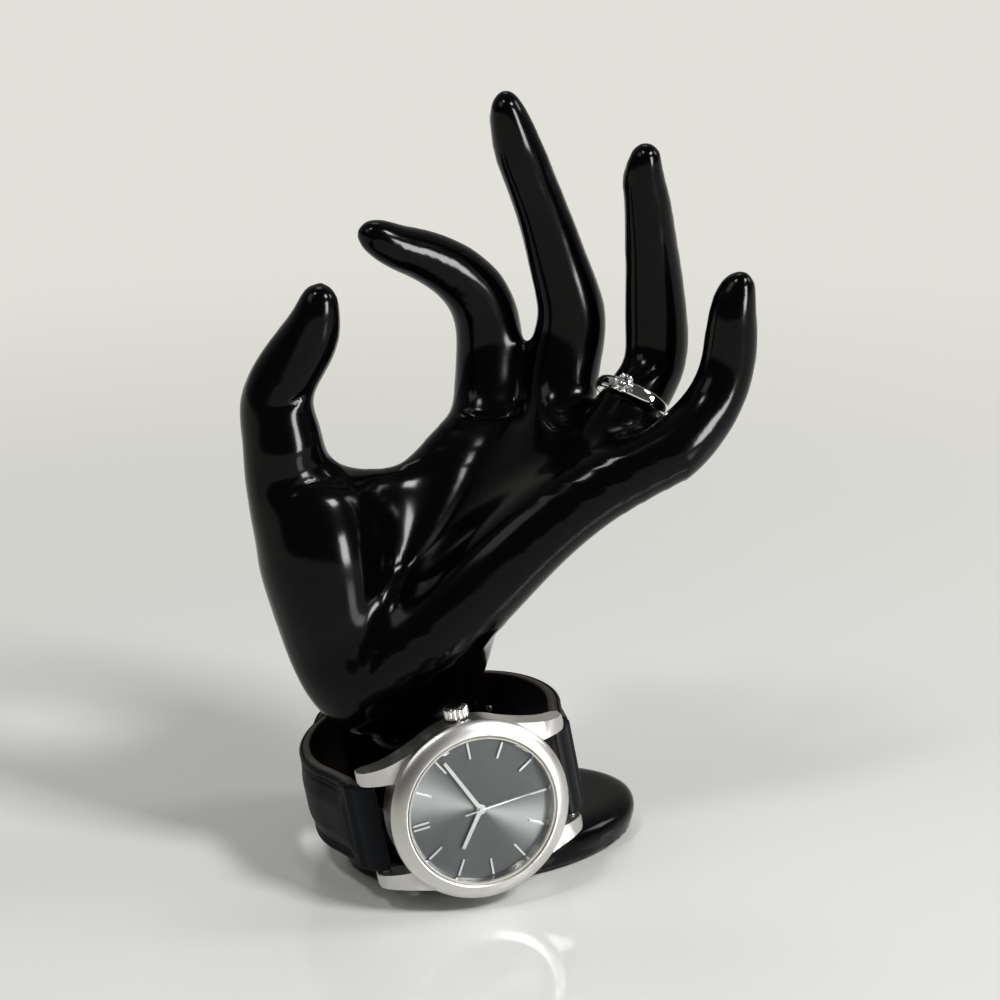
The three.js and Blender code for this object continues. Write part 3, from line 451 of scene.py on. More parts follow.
hand = {
    "voxel": 0.8,
    "rounds": 60,
    "regain": 0.9,  # the share of its shrinking that the smoothed skin gets back
    "mostRegain": 0.9,
    "seat": 1.5,  # the cast underside stays flat below this height
    "palmRounds": 30,  # more for each of the palm's and the back's nested regions
    # each region's lower and upper height, then its left and right
    "palmRegions": [
        ((46, 96), (-28, 40)), ((50, 94), (-27, 36)), ((54, 91), (-25, 31)), ((58, 88), (-23, 27)),
    ],
    # how deep, how wide and where the skin is drawn in
    "creases": {
        "thumbJoint": (0.8, 0.7, [
            (-48.4, -15.4, 106.2), (-45.8, -15.5, 106.3), (-43.2, -14.2, 107.2), (-41.0, -11.8, 109),
        ]),
        "thumbRoot": (0.8, 0.7, [
            (-45.4, -19.9, 88.0), (-42.8, -19.5, 89.6), (-38.8, -17.3, 90.6), (-35.6, -14.6, 90.4),
        ]),
        "aboveBall": (1.7, 4.0, [
            (-50.0, -15.0, 90.0), (-44.0, -19.5, 91.0), (-39.0, -17.3, 91.8), (-33.0, -11.0, 90.5),
        ]),
        "indexRoot": (0.8, 0.7, [
            (-9.0, 11.0, 97.2), (-4.9, 9.0, 96.8), (-0.5, 8.6, 96.8), (4.8, 8.6, 98.0),
        ]),
        "middleRoot": (0.7, 0.7, [
            (9.6, 5.0, 101.0), (10.4, 1.8, 98.8), (12.7, -1.9, 97.6), (16.4, -3.4, 99.0),
        ]),
        "ringJoint": (0.7, 0.7, [(29.4, -1.8, 108.0), (33.0, -0.1, 109.4), (36.6, 2.2, 111.4)]),
        "heelLeft": (0.5, 0.7, [(-31.6, -24.2, 53.0), (-30.8, -25.4, 48.3), (-29.9, -25.6, 44.6)]),
        "heelRight": (0.5, 0.7, [(-29.9, -25.6, 44.6), (-28.6, -25.3, 48.8), (-26.6, -24.2, 54.0)]),
    },
}


def creasePoints(route, spacing=0.3):
    # a rounded line through the route's points
    knots = [Vector(point) for point in route]
    ways = []
    for i in range(len(knots)):
        before, after = knots[max(i - 1, 0)], knots[min(i + 1, len(knots) - 1)]
        ways.append((after - before) / 6)
    points = []
    for i in range(len(knots) - 1):
        start, end = knots[i], knots[i + 1]
        count = max(2, int((end - start).length / spacing))
        points += interpolate_bezier(start, start + ways[i], end - ways[i + 1], end, count)
    return points


def makeHand():
    rough = asObject("hand", cadCopy("hand_casting"))
    remesh = rough.modifiers.new("remesh", "REMESH")
    remesh.mode = "VOXEL"
    remesh.voxel_size = hand["voxel"]
    applied(rough)
    shape = bmesh.new()
    shape.from_mesh(rough.data)
    free = [vert for vert in shape.verts if vert.co.z > hand["seat"]]
    evenOut(shape, free, hand["rounds"])
    regainShape(free)
    for (low, high), (left, right) in hand["palmRegions"]:
        palm = [vert for vert in free if low < vert.co.z < high and left < vert.co.x < right]
        evenOut(shape, palm, hand["palmRounds"])
    pressCreases(shape)
    shape.to_mesh(rough.data)
    shape.free()
    finishPiece(rough, millimetres, "display", lacquer, ["hand_casting"], 180)


def evenOut(shape, verts, rounds):
    for _ in range(rounds):
        bmesh.ops.smooth_vert(
            shape, verts=verts, factor=0.5, use_axis_x=True, use_axis_y=True, use_axis_z=True,
        )


def regainShape(verts):
    # smoothing moved each point toward its neighbours, so it is moved back by as much
    moves = []
    for vert in verts:
        around = [edge.other_vert(vert).co for edge in vert.link_edges]
        drift = sum(around, Vector()) / len(around) - vert.co
        move = drift * (-0.5 * hand["rounds"] * hand["regain"])
        fade = smooth(vert.co.z, 2 * hand["seat"], 5 * hand["seat"])
        moves.append(move * fade * min(1, hand["mostRegain"] / max(move.length, 1e-6)))
    for vert, move in zip(verts, moves):
        vert.co += move


def pressCreases(shape):
    shape.normal_update()
    for depth, width, route in hand["creases"].values():
        points = creasePoints(route)
        tree = KDTree(len(points))
        for i, point in enumerate(points):
            tree.insert(point, i)
        tree.balance()
        middle = sum(points, Vector()) / len(points)
        reach = max((point - middle).length for point in points) + 4 * width
        moves = []
        for vert in shape.verts:
            if (vert.co - middle).length > reach:
                continue
            _, i, away = tree.find(vert.co)
            if away > 4 * width:
                continue
            fade = math.sin(math.pi * (i + 0.5) / len(points)) ** 0.5
            groove = math.exp(-((away / width) ** 2))
            moves.append((vert, -groove * depth * fade))
        for vert, move in moves:
            vert.co += vert.normal * move


makeHand()
print("hand ready")


# The watch head

watch = {
    "bezelRadius": 20.0,
    "bezelBore": 16.6,
    "skirtBore": 17.6,
    "caseRadius": 19.4,
    "caseTop": -1.15,
    "caseDepth": 7.3,
    "caseBore": 15.6,
    "backRadius": 17.0,
    "backLow": -8.3,
    "lugInner": 10.35,
    "lugOuter": 13.35,
    "lugReach": 23.4,
    "dialRadius": 17.3,
    "dialThickness": 0.5,
    "crystalRadius": 16.0,
    "crystalLow": 1.65,
    "crystalHigh": 2.55,
    "gasketRadius": 16.45,
    "flangeInner": 15.5,
    "flangeSlope": 0.42,
    "chamfer": 0.2,
    "gap": 0.15,
    "postHole": 0.6,
    "cutFrom": -20,
    "cutTo": 5,
    "recessRadius": 16.5,
    "recessDepth": 0.6,
    "ledgeRadius": 17.45,
    "ledgeLow": -2.15,
    "ledgeHigh": -0.65,
    "caseRounding": 0.28,
    "backSpigot": 15.3,
    "backBore": 13.5,
    "backTop": -5.35,
    "backFloor": -6.8,
}


def onWatch(name, shape, material, node, crisp=32):
    finishPiece(asObject(name, shape), watchPlace, "watch", material, [node], crisp)


def bezelRing():
    outer, bore, skirt = watch["bezelRadius"], watch["bezelBore"], watch["skirtBore"]
    shape = turned([
        (skirt, -1.0), (outer - 0.3, -1.0), (outer, -0.75), (outer, 0.55), (outer - 0.12, 0.75),
        (outer - 0.62, 1.3), (outer - 1.6, 1.85), (bore + 0.7, 2.3), (bore + 0.3, 2.36), (bore, 2.2),
        (bore, 0.15), (skirt, 0.15),
    ], 160)
    soften(shape, 0.07)
    onWatch("bezelRing", shape, bezelSteel, "bezel")


def lugOutline(quality=12):
    # one quarter of the case seen from the front, from 6 o'clock round to the crown's side
    radius, inner, outer, reach = (watch[k] for k in ("caseRadius", "lugInner", "lugOuter", "lugReach"))
    shoulder = math.asin(inner / radius)
    points = []
    for i in range(quality):
        angle = shoulder * i / quality
        points.append((radius * math.cos(angle), radius * math.sin(angle)))
    points += [(radius * math.cos(shoulder), inner), (reach, inner)]
    points += [(reach + 0.35, inner + 0.75), (reach + 0.3, outer - 0.7), (reach, outer)]
    meet = math.radians(62)
    start = Vector((reach, outer, 0))
    end = Vector((radius * math.cos(meet), radius * math.sin(meet), 0))
    pull = Vector((reach * 0.68, outer + 0.9, 0))
    sweep = interpolate_bezier(start, start.lerp(pull, 2 / 3), end.lerp(pull, 2 / 3), end, quality + 1)
    points += [(point.x, point.y) for point in sweep[1:]]
    for i in range(1, quality):
        angle = meet + (math.pi / 2 - meet) * i / quality
        points.append((radius * math.cos(angle), radius * math.sin(angle)))
    return points


def wholeOutline():
    quarter = lugOutline()
    top = [(0, watch["caseRadius"])]
    right = quarter + top + [(-x, y) for x, y in reversed(quarter)]
    return right + [(-x, -y) for x, y in right[1:-1]]


def sideOutline():
    top, low, reach = watch["caseTop"], -watch["caseDepth"], watch["lugReach"]
    spine = [
        (13, top), (17.5, top - 0.35), (20.5, top - 1.6), (22.6, top - 3.2), (reach - 0.1, top - 4.6),
        (reach + 0.5, top - 5.6), (reach, low - 1.1), (reach - 1.4, low - 1.5), (19.5, low - 0.5),
        (17.6, low),
    ]
    rounded = []
    for i, (x, z) in enumerate(spine):
        if i in (1, 2, 3, 4):
            before, after = spine[i - 1], spine[i + 1]
            rounded.append(((before[0] + 3 * x) / 4, (before[1] + 3 * z) / 4))
            rounded.append(((after[0] + 3 * x) / 4, (after[1] + 3 * z) / 4))
        else:
            rounded.append((x, z))
    return rounded + [(-x, z) for x, z in reversed(rounded)]


def caseBody():
    plan = asObject("caseBody", slab(wholeOutline(), -16, 8))
    side = slab(sideOutline(), -24, 24)
    bmesh.ops.rotate(side, verts=side.verts, matrix=Matrix.Rotation(math.pi / 2, 3, "X"))
    low, high, radius = watch["cutFrom"], watch["cutTo"], watch["caseBore"]
    bore = turned([(0, low), (radius, low), (radius, high), (0, high)], 96, False)
    radius, high = watch["recessRadius"], watch["recessDepth"] - watch["caseDepth"]
    recess = turned([(0, low), (radius, low), (radius, high), (0, high)], 96, False)
    combined(plan, "INTERSECT", asObject("side", side))
    combined(plan, "DIFFERENCE", asObject("bore", bore), asObject("recess", recess))
    inner, outer = watch["caseBore"] - 0.1, watch["ledgeRadius"]
    low, high = watch["ledgeLow"], watch["ledgeHigh"]
    ledge = turned([(inner, low), (outer, low), (outer, high), (inner, high)], 96)
    combined(plan, "UNION", asObject("ledge", ledge))
    rounding = plan.modifiers.new("edges", "BEVEL")
    rounding.limit_method = "ANGLE"
    rounding.angle_limit = math.radians(28)
    rounding.width = watch["caseRounding"]
    rounding.segments = 3
    rounding.use_clamp_overlap = True
    applied(plan)
    finishPiece(plan, watchPlace, "watch", caseSteel, ["watch_case"], 40)


def caseBack():
    low, radius = watch["backLow"], watch["backRadius"]
    spigot, bore, top, floor = (watch[k] for k in ("backSpigot", "backBore", "backTop", "backFloor"))
    shape = turned([
        (0, low), (radius - 2.2, low), (radius - 0.8, low + 0.05), (radius, low + 0.45),
        (radius, low + 0.85), (spigot, low + 0.85), (spigot, top), (bore, top), (bore, floor), (0, floor),
    ], 128, False)
    soften(shape, 0.08)
    onWatch("caseBackLid", shape, bezelSteel, "case_back")


def dialParts():
    outer, inner, low, gap = watch["dialRadius"], watch["postHole"], -watch["dialThickness"], watch["gap"]
    shape = turned([(inner, low), (outer, low), (outer, 0), (inner, 0)], 160)
    onWatch("sunrayDialPaintedSheen", shape, dialGrey, "dial")

    inner, outer, high = watch["flangeInner"], watch["bezelBore"] - gap, watch["crystalLow"] - gap
    shape = turned([(inner, gap), (outer, gap), (outer, high), (outer - watch["flangeSlope"], high)], 160)
    onWatch("flangeRing", shape, polishedSteel, "flange_ring")

    low, high, radius = watch["crystalLow"], watch["crystalHigh"], watch["crystalRadius"]
    chamfer = watch["chamfer"]
    shape = turned([
        (0, low), (radius, low), (radius, high - chamfer), (radius - chamfer, high), (0, high),
    ], 160, False)
    onWatch("flatCrystal", shape, crystalClear, "crystal")

    inner, outer, high = radius + gap, watch["gasketRadius"], high - chamfer
    shape = turned([(inner, low), (outer, low), (outer, high), (inner, high)], 128)
    onWatch("crystalSeal", shape, sealNylon, "crystal_gasket")


crownSettings = {
    "radius": 2.4,
    "length": 2.6,
    "start": 20.1,
    "depth": 3.7,
    "flutes": 14,
    "fluteDepth": 0.42,
}


def flutedCrown():
    flutes, radius = crownSettings["flutes"], crownSettings["radius"]
    shape = bmesh.new()
    bmesh.ops.create_circle(shape, cap_ends=True, segments=flutes * 8, radius=radius)
    for vert in shape.verts:
        angle = math.atan2(vert.co.y, vert.co.x)
        wave = abs(math.sin(angle * flutes / 2)) ** 0.7
        vert.co *= 1 - crownSettings["fluteDepth"] / radius * (1 - wave)
    length = crownSettings["length"]
    # each level's height and its share of the full radius
    levels = [
        (0.0, 0.9), (0.25, 1.0), (length - 0.55, 1.0), (length - 0.3, 0.93), (length - 0.12, 0.72),
        (length, 0.62),
    ]
    top = shape.faces[:]
    low = 0
    for i, (height, share) in enumerate(levels[1:]):
        raised = bmesh.ops.extrude_face_region(shape, geom=top, use_keep_orig=(i == 0))["geom"]
        top = [part for part in raised if isinstance(part, bmesh.types.BMFace)]
        verts = [part for part in raised if isinstance(part, bmesh.types.BMVert)]
        bmesh.ops.translate(shape, verts=verts, vec=(0, 0, height - low))
        scale = share / levels[i][1]
        bmesh.ops.scale(shape, verts=verts, vec=(scale, scale, 1))
        low = height
    for vert in shape.verts:
        if vert.co.z < 1e-6:
            vert.co.xy *= levels[0][1]
    bmesh.ops.recalc_face_normals(shape, faces=shape.faces)
    shift = Matrix.Translation((0, crownSettings["start"], -crownSettings["depth"]))
    place = watchPlace @ (shift @ Matrix.Rotation(-math.pi / 2, 4, "X"))
    finishPiece(asObject("flutedCrown", shape), place, "crown", polishedSteel, ["crown"], 50)


clockHands = {
    "hour_hand": {
        "length": 9.3, "tail": 0.0, "half": 0.5, "tip": 0.42, "hub": 1.15, "low": 0.6, "angle": 306.4,
    },
    "minute_hand": {
        "length": 13.9, "tail": 0.0, "half": 0.45, "tip": 0.38, "hub": 1.0, "low": 0.95, "angle": 65.0,
    },
    "second_hand": {
        "length": 14.8, "tail": 3.75, "half": 0.17, "tip": 0.12, "hub": 0.6, "low": 1.3, "angle": 177.6,
    },
}


def clockHand(node, size):
    half, hub = size["half"], size["hub"]
    start = math.asin(half / hub)
    outline = []
    for i in range(25):
        angle = start + (2 * math.pi - 2 * start) * i / 24
        outline.append((hub * math.cos(angle), hub * math.sin(angle)))
    if size["tail"]:
        ends = [point for point in outline if abs(point[1]) < half and point[0] < 0]
        at = outline.index(ends[0])
        outline = [point for point in outline if point not in ends]
        neck, tail = -hub * 0.95, -size["tail"]
        outline[at:at] = [(neck, half), (tail, half), (tail, -half), (neck, -half)]
    outline += [(size["length"], -size["tip"]), (size["length"], size["tip"])]
    shape = slab(outline, size["low"], size["low"] + 0.2)
    soften(shape, 0.05, 1)
    turn = Matrix.Rotation(math.pi - math.radians(size["angle"]), 4, "Z")
    name = node.replace("_hand", "Hand")
    finishPiece(asObject(name, shape), watchPlace @ turn, node, markerSteel, [node])


bezelRing()
caseBody()
caseBack()
dialParts()
flutedCrown()
for node, size in clockHands.items():
    clockHand(node, size)
print("watch head ready")


# The strap: drawn flat, then laid along its route round the wrist

strap = {
    "across": -0.5,
    "depth": -29.0,
    "halfWidth": 28.0,
    "halfDepth": 27.6,
    "sideRadius": 22.0,
    "frontTurn": 20.0,
    "pull": 4.5,
    "barReach": 21.6,
    "barDepth": 6.6,
    "lugThickness": 2.8,
    "padded": 4.3,
    "thin": 2.4,
    "paddedReach": 45.0,
    "width": 20.0,
    "buckleWidth": 18.0,
    "rise": 0.09,
    "tail": 24.0,
    "layerRise": 2.7,
    "buckleReach": 10.0,
    "grooves": ((1.5, 0.34, 0.26), (2.6, 0.4, 0.3)),  # from the edge: place, depth, width
    "welts": ((4.0, 0.55, 0.5), (6.3, 0.4, 0.45)),  # the same, from the spring bar
    "edgeRound": 0.7,
    "spacing": 0.7,
    "columns": 56,
    "holes": (-2, -1, 0, 1, 2, 3, 4),  # places of the holes, counted from the one the tongue is in
    "holePitch": 6.5,
    "holeRadius": 0.9,
    "tongueHole": (3.2, 1.45, 1),  # how much that hole is stretched
    "slot": (13.6, 2.6, 14),  # in strapShortPart's end, round the tongue
}


class Route:
    # the strap's line seen from the crown's side: across and depth in the watch's own frame
    def __init__(self):
        inset = strap["halfWidth"] - strap["sideRadius"]
        spare = strap["halfDepth"] - strap["sideRadius"]
        drop = (inset ** 2 - spare ** 2) / (2 * spare)
        self.backRadius = strap["halfDepth"] + drop
        turn = math.atan2(drop, inset)
        front = math.radians(strap["frontTurn"])
        middle = Vector((strap["across"], strap["depth"]))
        hubs = [middle + Vector((side * inset, 0)) for side in (1, -1)]
        right = self.lead(1, hubs[0], front)
        left = self.lead(-1, hubs[1], front)
        points = right[:-1]
        points += self.arc(hubs[0], strap["sideRadius"], front, -turn)[:-1]
        points += self.arc(middle + Vector((0, drop)), self.backRadius, -turn, turn - math.pi)[:-1]
        points += self.arc(hubs[1], strap["sideRadius"], turn - math.pi, -math.pi - front)[:-1]
        self.points = points + left[::-1]
        self.reached = [0.0]
        for a, b in zip(self.points, self.points[1:]):
            self.reached.append(self.reached[-1] + (b - a).length)
        self.length = self.reached[-1]

    def lead(self, side, hub, front):
        depth = -strap["barDepth"] - strap["lugThickness"] / 2 + 0.7
        start = Vector((side * (strap["barReach"] - 1.5), depth))
        end = hub + Vector((side * math.cos(front), math.sin(front))) * strap["sideRadius"]
        first = start + Vector((side * 0.9, -0.43)) * strap["pull"]
        second = end + Vector((-side * math.sin(front), math.cos(front))) * strap["pull"]
        curve = interpolate_bezier(*(point.to_3d() for point in (start, first, second, end)), 40)
        return [point.to_2d() for point in curve]

    def arc(self, hub, radius, start, end):
        count = 60
        angles = [start + (end - start) * i / count for i in range(count + 1)]
        return [hub + Vector((math.cos(angle), math.sin(angle))) * radius for angle in angles]

    def at(self, distance):
        low, high = 0, len(self.reached) - 2
        while low < high:
            i = (low + high + 1) // 2
            if self.reached[i] <= distance:
                low = i
            else:
                high = i - 1
        a, b = self.points[low], self.points[low + 1]
        share = (distance - self.reached[low]) / (self.reached[low + 1] - self.reached[low])
        heading = (b - a).normalized()
        before, after = self.points[max(low - 1, 0)], self.points[min(low + 2, len(self.points) - 1)]
        leaving, arriving = (b - before).normalized(), (after - a).normalized()
        bend = leaving.lerp(arriving, min(max(share, 0), 1)).normalized()
        heading = bend if bend.length else heading
        return a.lerp(b, share), Vector((-heading.y, heading.x))


route = Route()
pivot = route.length / 2 - 3
tailEnd = route.length / 2 + strap["tail"]


def barEdge(distance):
    return min(distance, route.length - distance)


def padding(distance):
    edge = barEdge(distance)
    share = smooth(edge, 12, strap["paddedReach"])
    padded = strap["padded"] + (strap["thin"] - strap["padded"]) * share
    return strap["lugThickness"] + (padded - strap["lugThickness"]) * smooth(edge, 2, 8)


def lowerFace(distance):
    return -0.7 * smooth(barEdge(distance), 2, 8) * (padding(distance) - strap["thin"])


def taper(distance):
    share = min(barEdge(distance) / 50, 1)
    return strap["width"] + (strap["buckleWidth"] - strap["width"]) * share


def tailWidth(distance):
    if distance < pivot:
        return taper(distance)
    return strap["buckleWidth"] - 9 * smooth(distance, tailEnd - 7, tailEnd) ** 1.2


def climb(distance):
    return strap["layerRise"] * smooth(distance, pivot - strap["buckleReach"], pivot - 0.5)


def onRoute(distance, side, height):
    point, outward = route.at(distance)
    rise = strap["rise"] * max(0, -point.y - strap["barDepth"] - 2)
    return Vector((point.x + outward.x * height, side + rise, point.y + outward.y * height))


def outerFace(distance, edge):
    # how far the top lies below the padded height, at this distance from the side edge
    pad = padding(distance) - strap["thin"]
    nearBar = barEdge(distance)
    drop = 0.55 * max(pad, 0) * (1 - smooth(edge, 2.6, 6.5)) * smooth(nearBar, 5, 10)
    for place, depth, width in strap["grooves"]:
        drop += depth * math.exp(-(((edge - place) / width) ** 2)) * smooth(nearBar, 6, 8)
    for place, depth, width in strap["welts"]:
        drop += depth * math.exp(-(((nearBar - place) / width) ** 2))
    return drop


def strapBand(name, start, end, low, width):
    shape = bmesh.new()
    rows = int((end - start) / strap["spacing"])
    bmesh.ops.create_grid(shape, x_segments=rows, y_segments=strap["columns"], size=1)
    lifted = bmesh.ops.extrude_face_region(shape, geom=shape.faces[:], use_keep_orig=True)["geom"]
    raised = [part for part in lifted if isinstance(part, bmesh.types.BMVert)]
    bmesh.ops.translate(shape, vec=(0, 0, 1), verts=raised)
    walls = [edge for edge in shape.edges if abs(edge.verts[0].co.z - edge.verts[1].co.z) > 0.5]
    bmesh.ops.subdivide_edges(shape, edges=walls, cuts=7, use_grid_fill=True)
    bmesh.ops.recalc_face_normals(shape, faces=shape.faces)
    layer = shape.verts.layers.float.new("layer")
    flat = {}
    for vert in shape.verts:
        x, y, z = vert.co
        side = math.copysign(1 - (1 - abs(y)) ** 1.5, y)
        distance = start + (end - start) * (x + 1) / 2
        half = width(distance) / 2
        edge = half * (1 - abs(side))
        ends = min(distance - start, end - distance)
        top = padding(distance) - outerFace(distance, edge)
        rounding = strap["edgeRound"] * (1 - min(edge / strap["edgeRound"], 1)) ** 2
        rounding += 0.5 * (1 - min(ends / 0.6, 1)) ** 2
        height = 0.25 * (1 - z) * rounding + z * (top - rounding)
        side *= half - 0.35 * (2 * z - 1) ** 4 * (1 if edge < 1e-6 else 0)
        vert[layer] = z
        flat[vert.index] = (distance, side)
        vert.co = onRoute(distance, side, low(distance) + height)
    pattern = shape.loops.layers.uv.new("leather")
    for face in shape.faces:
        for loop in face.loops:
            distance, side = flat[loop.vert.index]
            loop[pattern].uv = (distance / 10, side / 10)
    return asObject(name, shape)


def punches():
    holes = []
    radius = strap["holeRadius"]
    for step in strap["holes"]:
        distance = pivot - strap["buckleReach"] / 2 + step * strap["holePitch"]
        _, outward = route.at(distance)
        shape = bmesh.new()
        bmesh.ops.create_cone(shape, cap_ends=True, segments=24, radius1=radius, radius2=radius, depth=14)
        if step == 0:
            bmesh.ops.scale(shape, vec=strap["tongueHole"], verts=shape.verts)
        turn = Matrix.Rotation(math.atan2(outward.x, outward.y), 4, "Y")
        shape.transform(Matrix.Translation(onRoute(distance, 0, 3)) @ turn)
        holes.append(asObject("punch", shape))
    return holes


def strapPieces():
    longPart = strapBand(
        "strapLongPart", 0, tailEnd, lambda distance: climb(distance) + lowerFace(distance), tailWidth,
    )
    combined(longPart, "DIFFERENCE", *punches())
    finishPiece(longPart, watchPlace, "watch", leather, ["strap_long"], 50)
    shortPart = strapBand("strapShortPart", pivot - 1.7, route.length, lowerFace, taper)
    slot = bmesh.new()
    bmesh.ops.create_cube(slot, size=1)
    bmesh.ops.scale(slot, vec=strap["slot"], verts=slot.verts)
    middle = pivot - strap["buckleReach"] / 2
    _, outward = route.at(middle)
    turn = Matrix.Rotation(math.atan2(outward.x, outward.y), 4, "Y")
    slot.transform(Matrix.Translation(onRoute(middle + 1, 0, 2)) @ turn)
    combined(shortPart, "DIFFERENCE", asObject("slot", slot))
    finishPiece(shortPart, watchPlace, "watch", leather, ["strap_short"], 50)


def softCopy(name, node, body, material, width, segments=3):
    # a CAD solid whose edges are rounded
    shape = soften(cadCopy(node), width, segments, 35)
    finishPiece(asObject(name, shape), millimetres, body, material, [node], 40)


strapPieces()
softCopy("buckleFrame", "buckle_frame", "watch", polishedSteel, 0.45)
softCopy("buckleTongue", "buckle_tongue", "tongue", polishedSteel, 0.2)
softCopy("fixedKeeper", "keeper_fixed", "watch", keeperLeather, 0.25)
softCopy("looseKeeper", "keeper_free", "loose_keeper", keeperLeather, 0.25)
print("strap ready")


# The ring

def onRing(name, shape, place, material, node, crisp):
    finishPiece(asObject(name, shape), place, "ring", material, [node], crisp)


def ringShank():
    size = ringSettings
    shape = bmesh.new()
    section = bmesh.ops.create_circle(shape, segments=20, radius=1)["verts"]
    bmesh.ops.rotate(shape, verts=section, matrix=Matrix.Rotation(math.pi / 2, 3, "X"))
    bmesh.ops.translate(shape, verts=section, vec=(10, 0, 0))
    edges = shape.edges[:]
    bmesh.ops.spin(
        shape, geom=section + edges, cent=(0, 0, 0), axis=(0, 0, 1), dvec=(0, 0, 0),
        angle=2 * math.pi, steps=size["steps"], use_merge=True, use_duplicate=False,
    )
    bmesh.ops.remove_doubles(shape, verts=shape.verts, dist=1e-4)
    for vert in shape.verts:
        angle = math.atan2(vert.co.y, vert.co.x)
        radial = vert.co.xy.length - 10
        near = smooth(math.cos(angle), 0.0, 0.95)
        wall = size["wall"] + (size["shoulderWall"] - size["wall"]) * near
        half = (size["width"] + (size["shoulderWidth"] - size["width"]) * near) / 2
        radial = math.copysign(abs(radial) ** size["squareness"], radial)
        across = math.copysign(abs(vert.co.z) ** size["squareness"], vert.co.z)
        reach = size["bore"] + wall / 2 + radial * wall / 2
        vert.co = (reach * math.cos(angle), reach * math.sin(angle), across * half)
    bmesh.ops.recalc_face_normals(shape, faces=shape.faces)
    onRing("ringShank", shape, ringPlace, whiteMetal, "ring_shank", 60)


def ringHead():
    size = ringSettings
    outer = size["bore"] + size["shoulderWall"]
    radius = size["stoneRadius"]
    low = size["bore"] + size["basketLow"]
    girdle = low + size["girdle"]
    basket = turned([
        (0.5, low), (1.2, low), (1.2, outer), (radius + 0.2, girdle - 0.35), (radius + 0.2, girdle - 0.15),
        (radius - 0.1, girdle - 0.15), (radius - 0.2, girdle - 0.4), (0.5, low + 0.8),
    ], 48)
    claws = bmesh.new()
    for i in range(size["claws"]):
        turn = Matrix.Rotation((i + 0.5) / size["claws"] * 2 * math.pi, 4, "Z")
        middle = Matrix.Translation((radius + 0.02, 0, (girdle + 0.5 + outer) / 2))
        lean = middle @ Matrix.Rotation(size["clawLean"], 4, "Y")
        bmesh.ops.create_cone(
            claws, cap_ends=True, segments=14, radius1=0.26, radius2=0.22, depth=girdle + 0.5 - outer,
            matrix=turn @ lean,
        )
        bead = Matrix.Translation((radius - 0.02, 0, girdle + 0.38)) @ Matrix.Diagonal((1, 1, 0.75, 1))
        bmesh.ops.create_icosphere(claws, subdivisions=3, radius=0.34, matrix=turn @ bead)
    mesh = bpy.data.meshes.new("claws")
    claws.to_mesh(mesh)
    claws.free()
    basket.from_mesh(mesh)
    out = Matrix.Rotation(math.pi / 2, 4, "Y")  # what stood on Z points to X
    onRing("ringHead", basket, ringPlace @ out, whiteMetal, "ring_head", 40)

    stone = bmesh.new()
    # each ring of corners from the table down to the tip: how many, radius, height and turn
    rings = [
        (8, radius * 0.56, girdle + 0.62, 0.5), (8, radius * 0.8, girdle + 0.38, 0.0),
        (16, radius - 0.14, girdle + 0.03, 0.0), (16, radius - 0.14, girdle - 0.05, 0.0),
        (8, radius * 0.42, girdle - 1.0, 0.5), (1, 0.0, girdle - 1.55, 0.0),
    ]
    for count, reach, height, turn in rings:
        for i in range(count):
            angle = (i + turn) / count * 2 * math.pi
            stone.verts.new((reach * math.cos(angle), reach * math.sin(angle), height))
    bmesh.ops.convex_hull(stone, input=stone.verts)
    onRing("roundStone", stone, ringPlace @ out, stoneClear, "ring_stone", 1)


ringShank()
ringHead()
print("ring ready")


# CAD nodes that stay get their finishes

kept = {
    "base_pad": blackFelt(),
    "movement": dullBrass(),
    "movement_holder": sealNylon,
    "back_gasket": gasketRubber,
    "crown_stem": polishedSteel,
    "spring_bar_12": polishedSteel,
    "spring_bar_6": polishedSteel,
    "buckle_bar": polishedSteel,
}
for node, made in frame["nodes"].items():
    material = kept.get(node)
    if node.startswith("hour_marker"):
        material = markerSteel
    if material:
        made.data.materials.clear()
        made.data.materials.append(material)


# Floor, lamps, world and camera

studio = {
    "floorSize": 16.0,  # metres, as the next two
    "nearFloor": 0.06,
    "farFloor": 0.6,
    "farColour": (0.76, 0.75, 0.69, 1),
    "lookAt": (0.0, 0.0, 0.08),
    "distance": 0.534,
    "elevation": 18.8,
    "lens": 86.4,
    "sensor": 36.0,
    "worldColour": (0.82, 0.8, 0.74, 1),
    "worldLow": 0.07,  # brightness in front of the object, rising to the next behind it
    "worldHigh": 0.45,
}

# Each lamp's azimuth from the camera's side toward +X, elevation, distance, width and height in metres,
# brightness, and whether it lights matt surfaces or only shows in glossy ones
softBoxes = {
    "key": (60, 45, 1.3, 0.28, 0.26, 48.0, True),
    "high": (-40, 60, 1.3, 0.19, 0.18, 28.0, True),
    "side": (100, 30, 1.5, 0.35, 0.45, 9.0, True),
    "strip": (52, 11, 2.2, 0.5, 0.9, 42.0, False),
    "fill": (-62, 40, 1.4, 0.6, 0.5, 2.2, True),
    "behind": (185, 62, 1.5, 0.5, 0.4, 3.0, True),
}


def softBox(name, azimuth, elevation, distance, width, height, brightness, lightsMatt):
    turn, lift = math.radians(azimuth), math.radians(elevation)
    way = Vector((math.sin(turn) * math.cos(lift), -math.cos(turn) * math.cos(lift), math.sin(lift)))
    lamp = bpy.data.lights.new(name, "AREA")
    lamp.shape = "RECTANGLE"
    lamp.size, lamp.size_y = width, height
    lamp.energy = math.pi * width * height * brightness
    made = bpy.data.objects.new(name, lamp)
    scene.collection.objects.link(made)
    made.location = Vector(studio["lookAt"]) + way * distance
    made.rotation_euler = way.to_track_quat("Z", "Y").to_euler()
    made.visible_camera = False
    made.visible_diffuse = lightsMatt


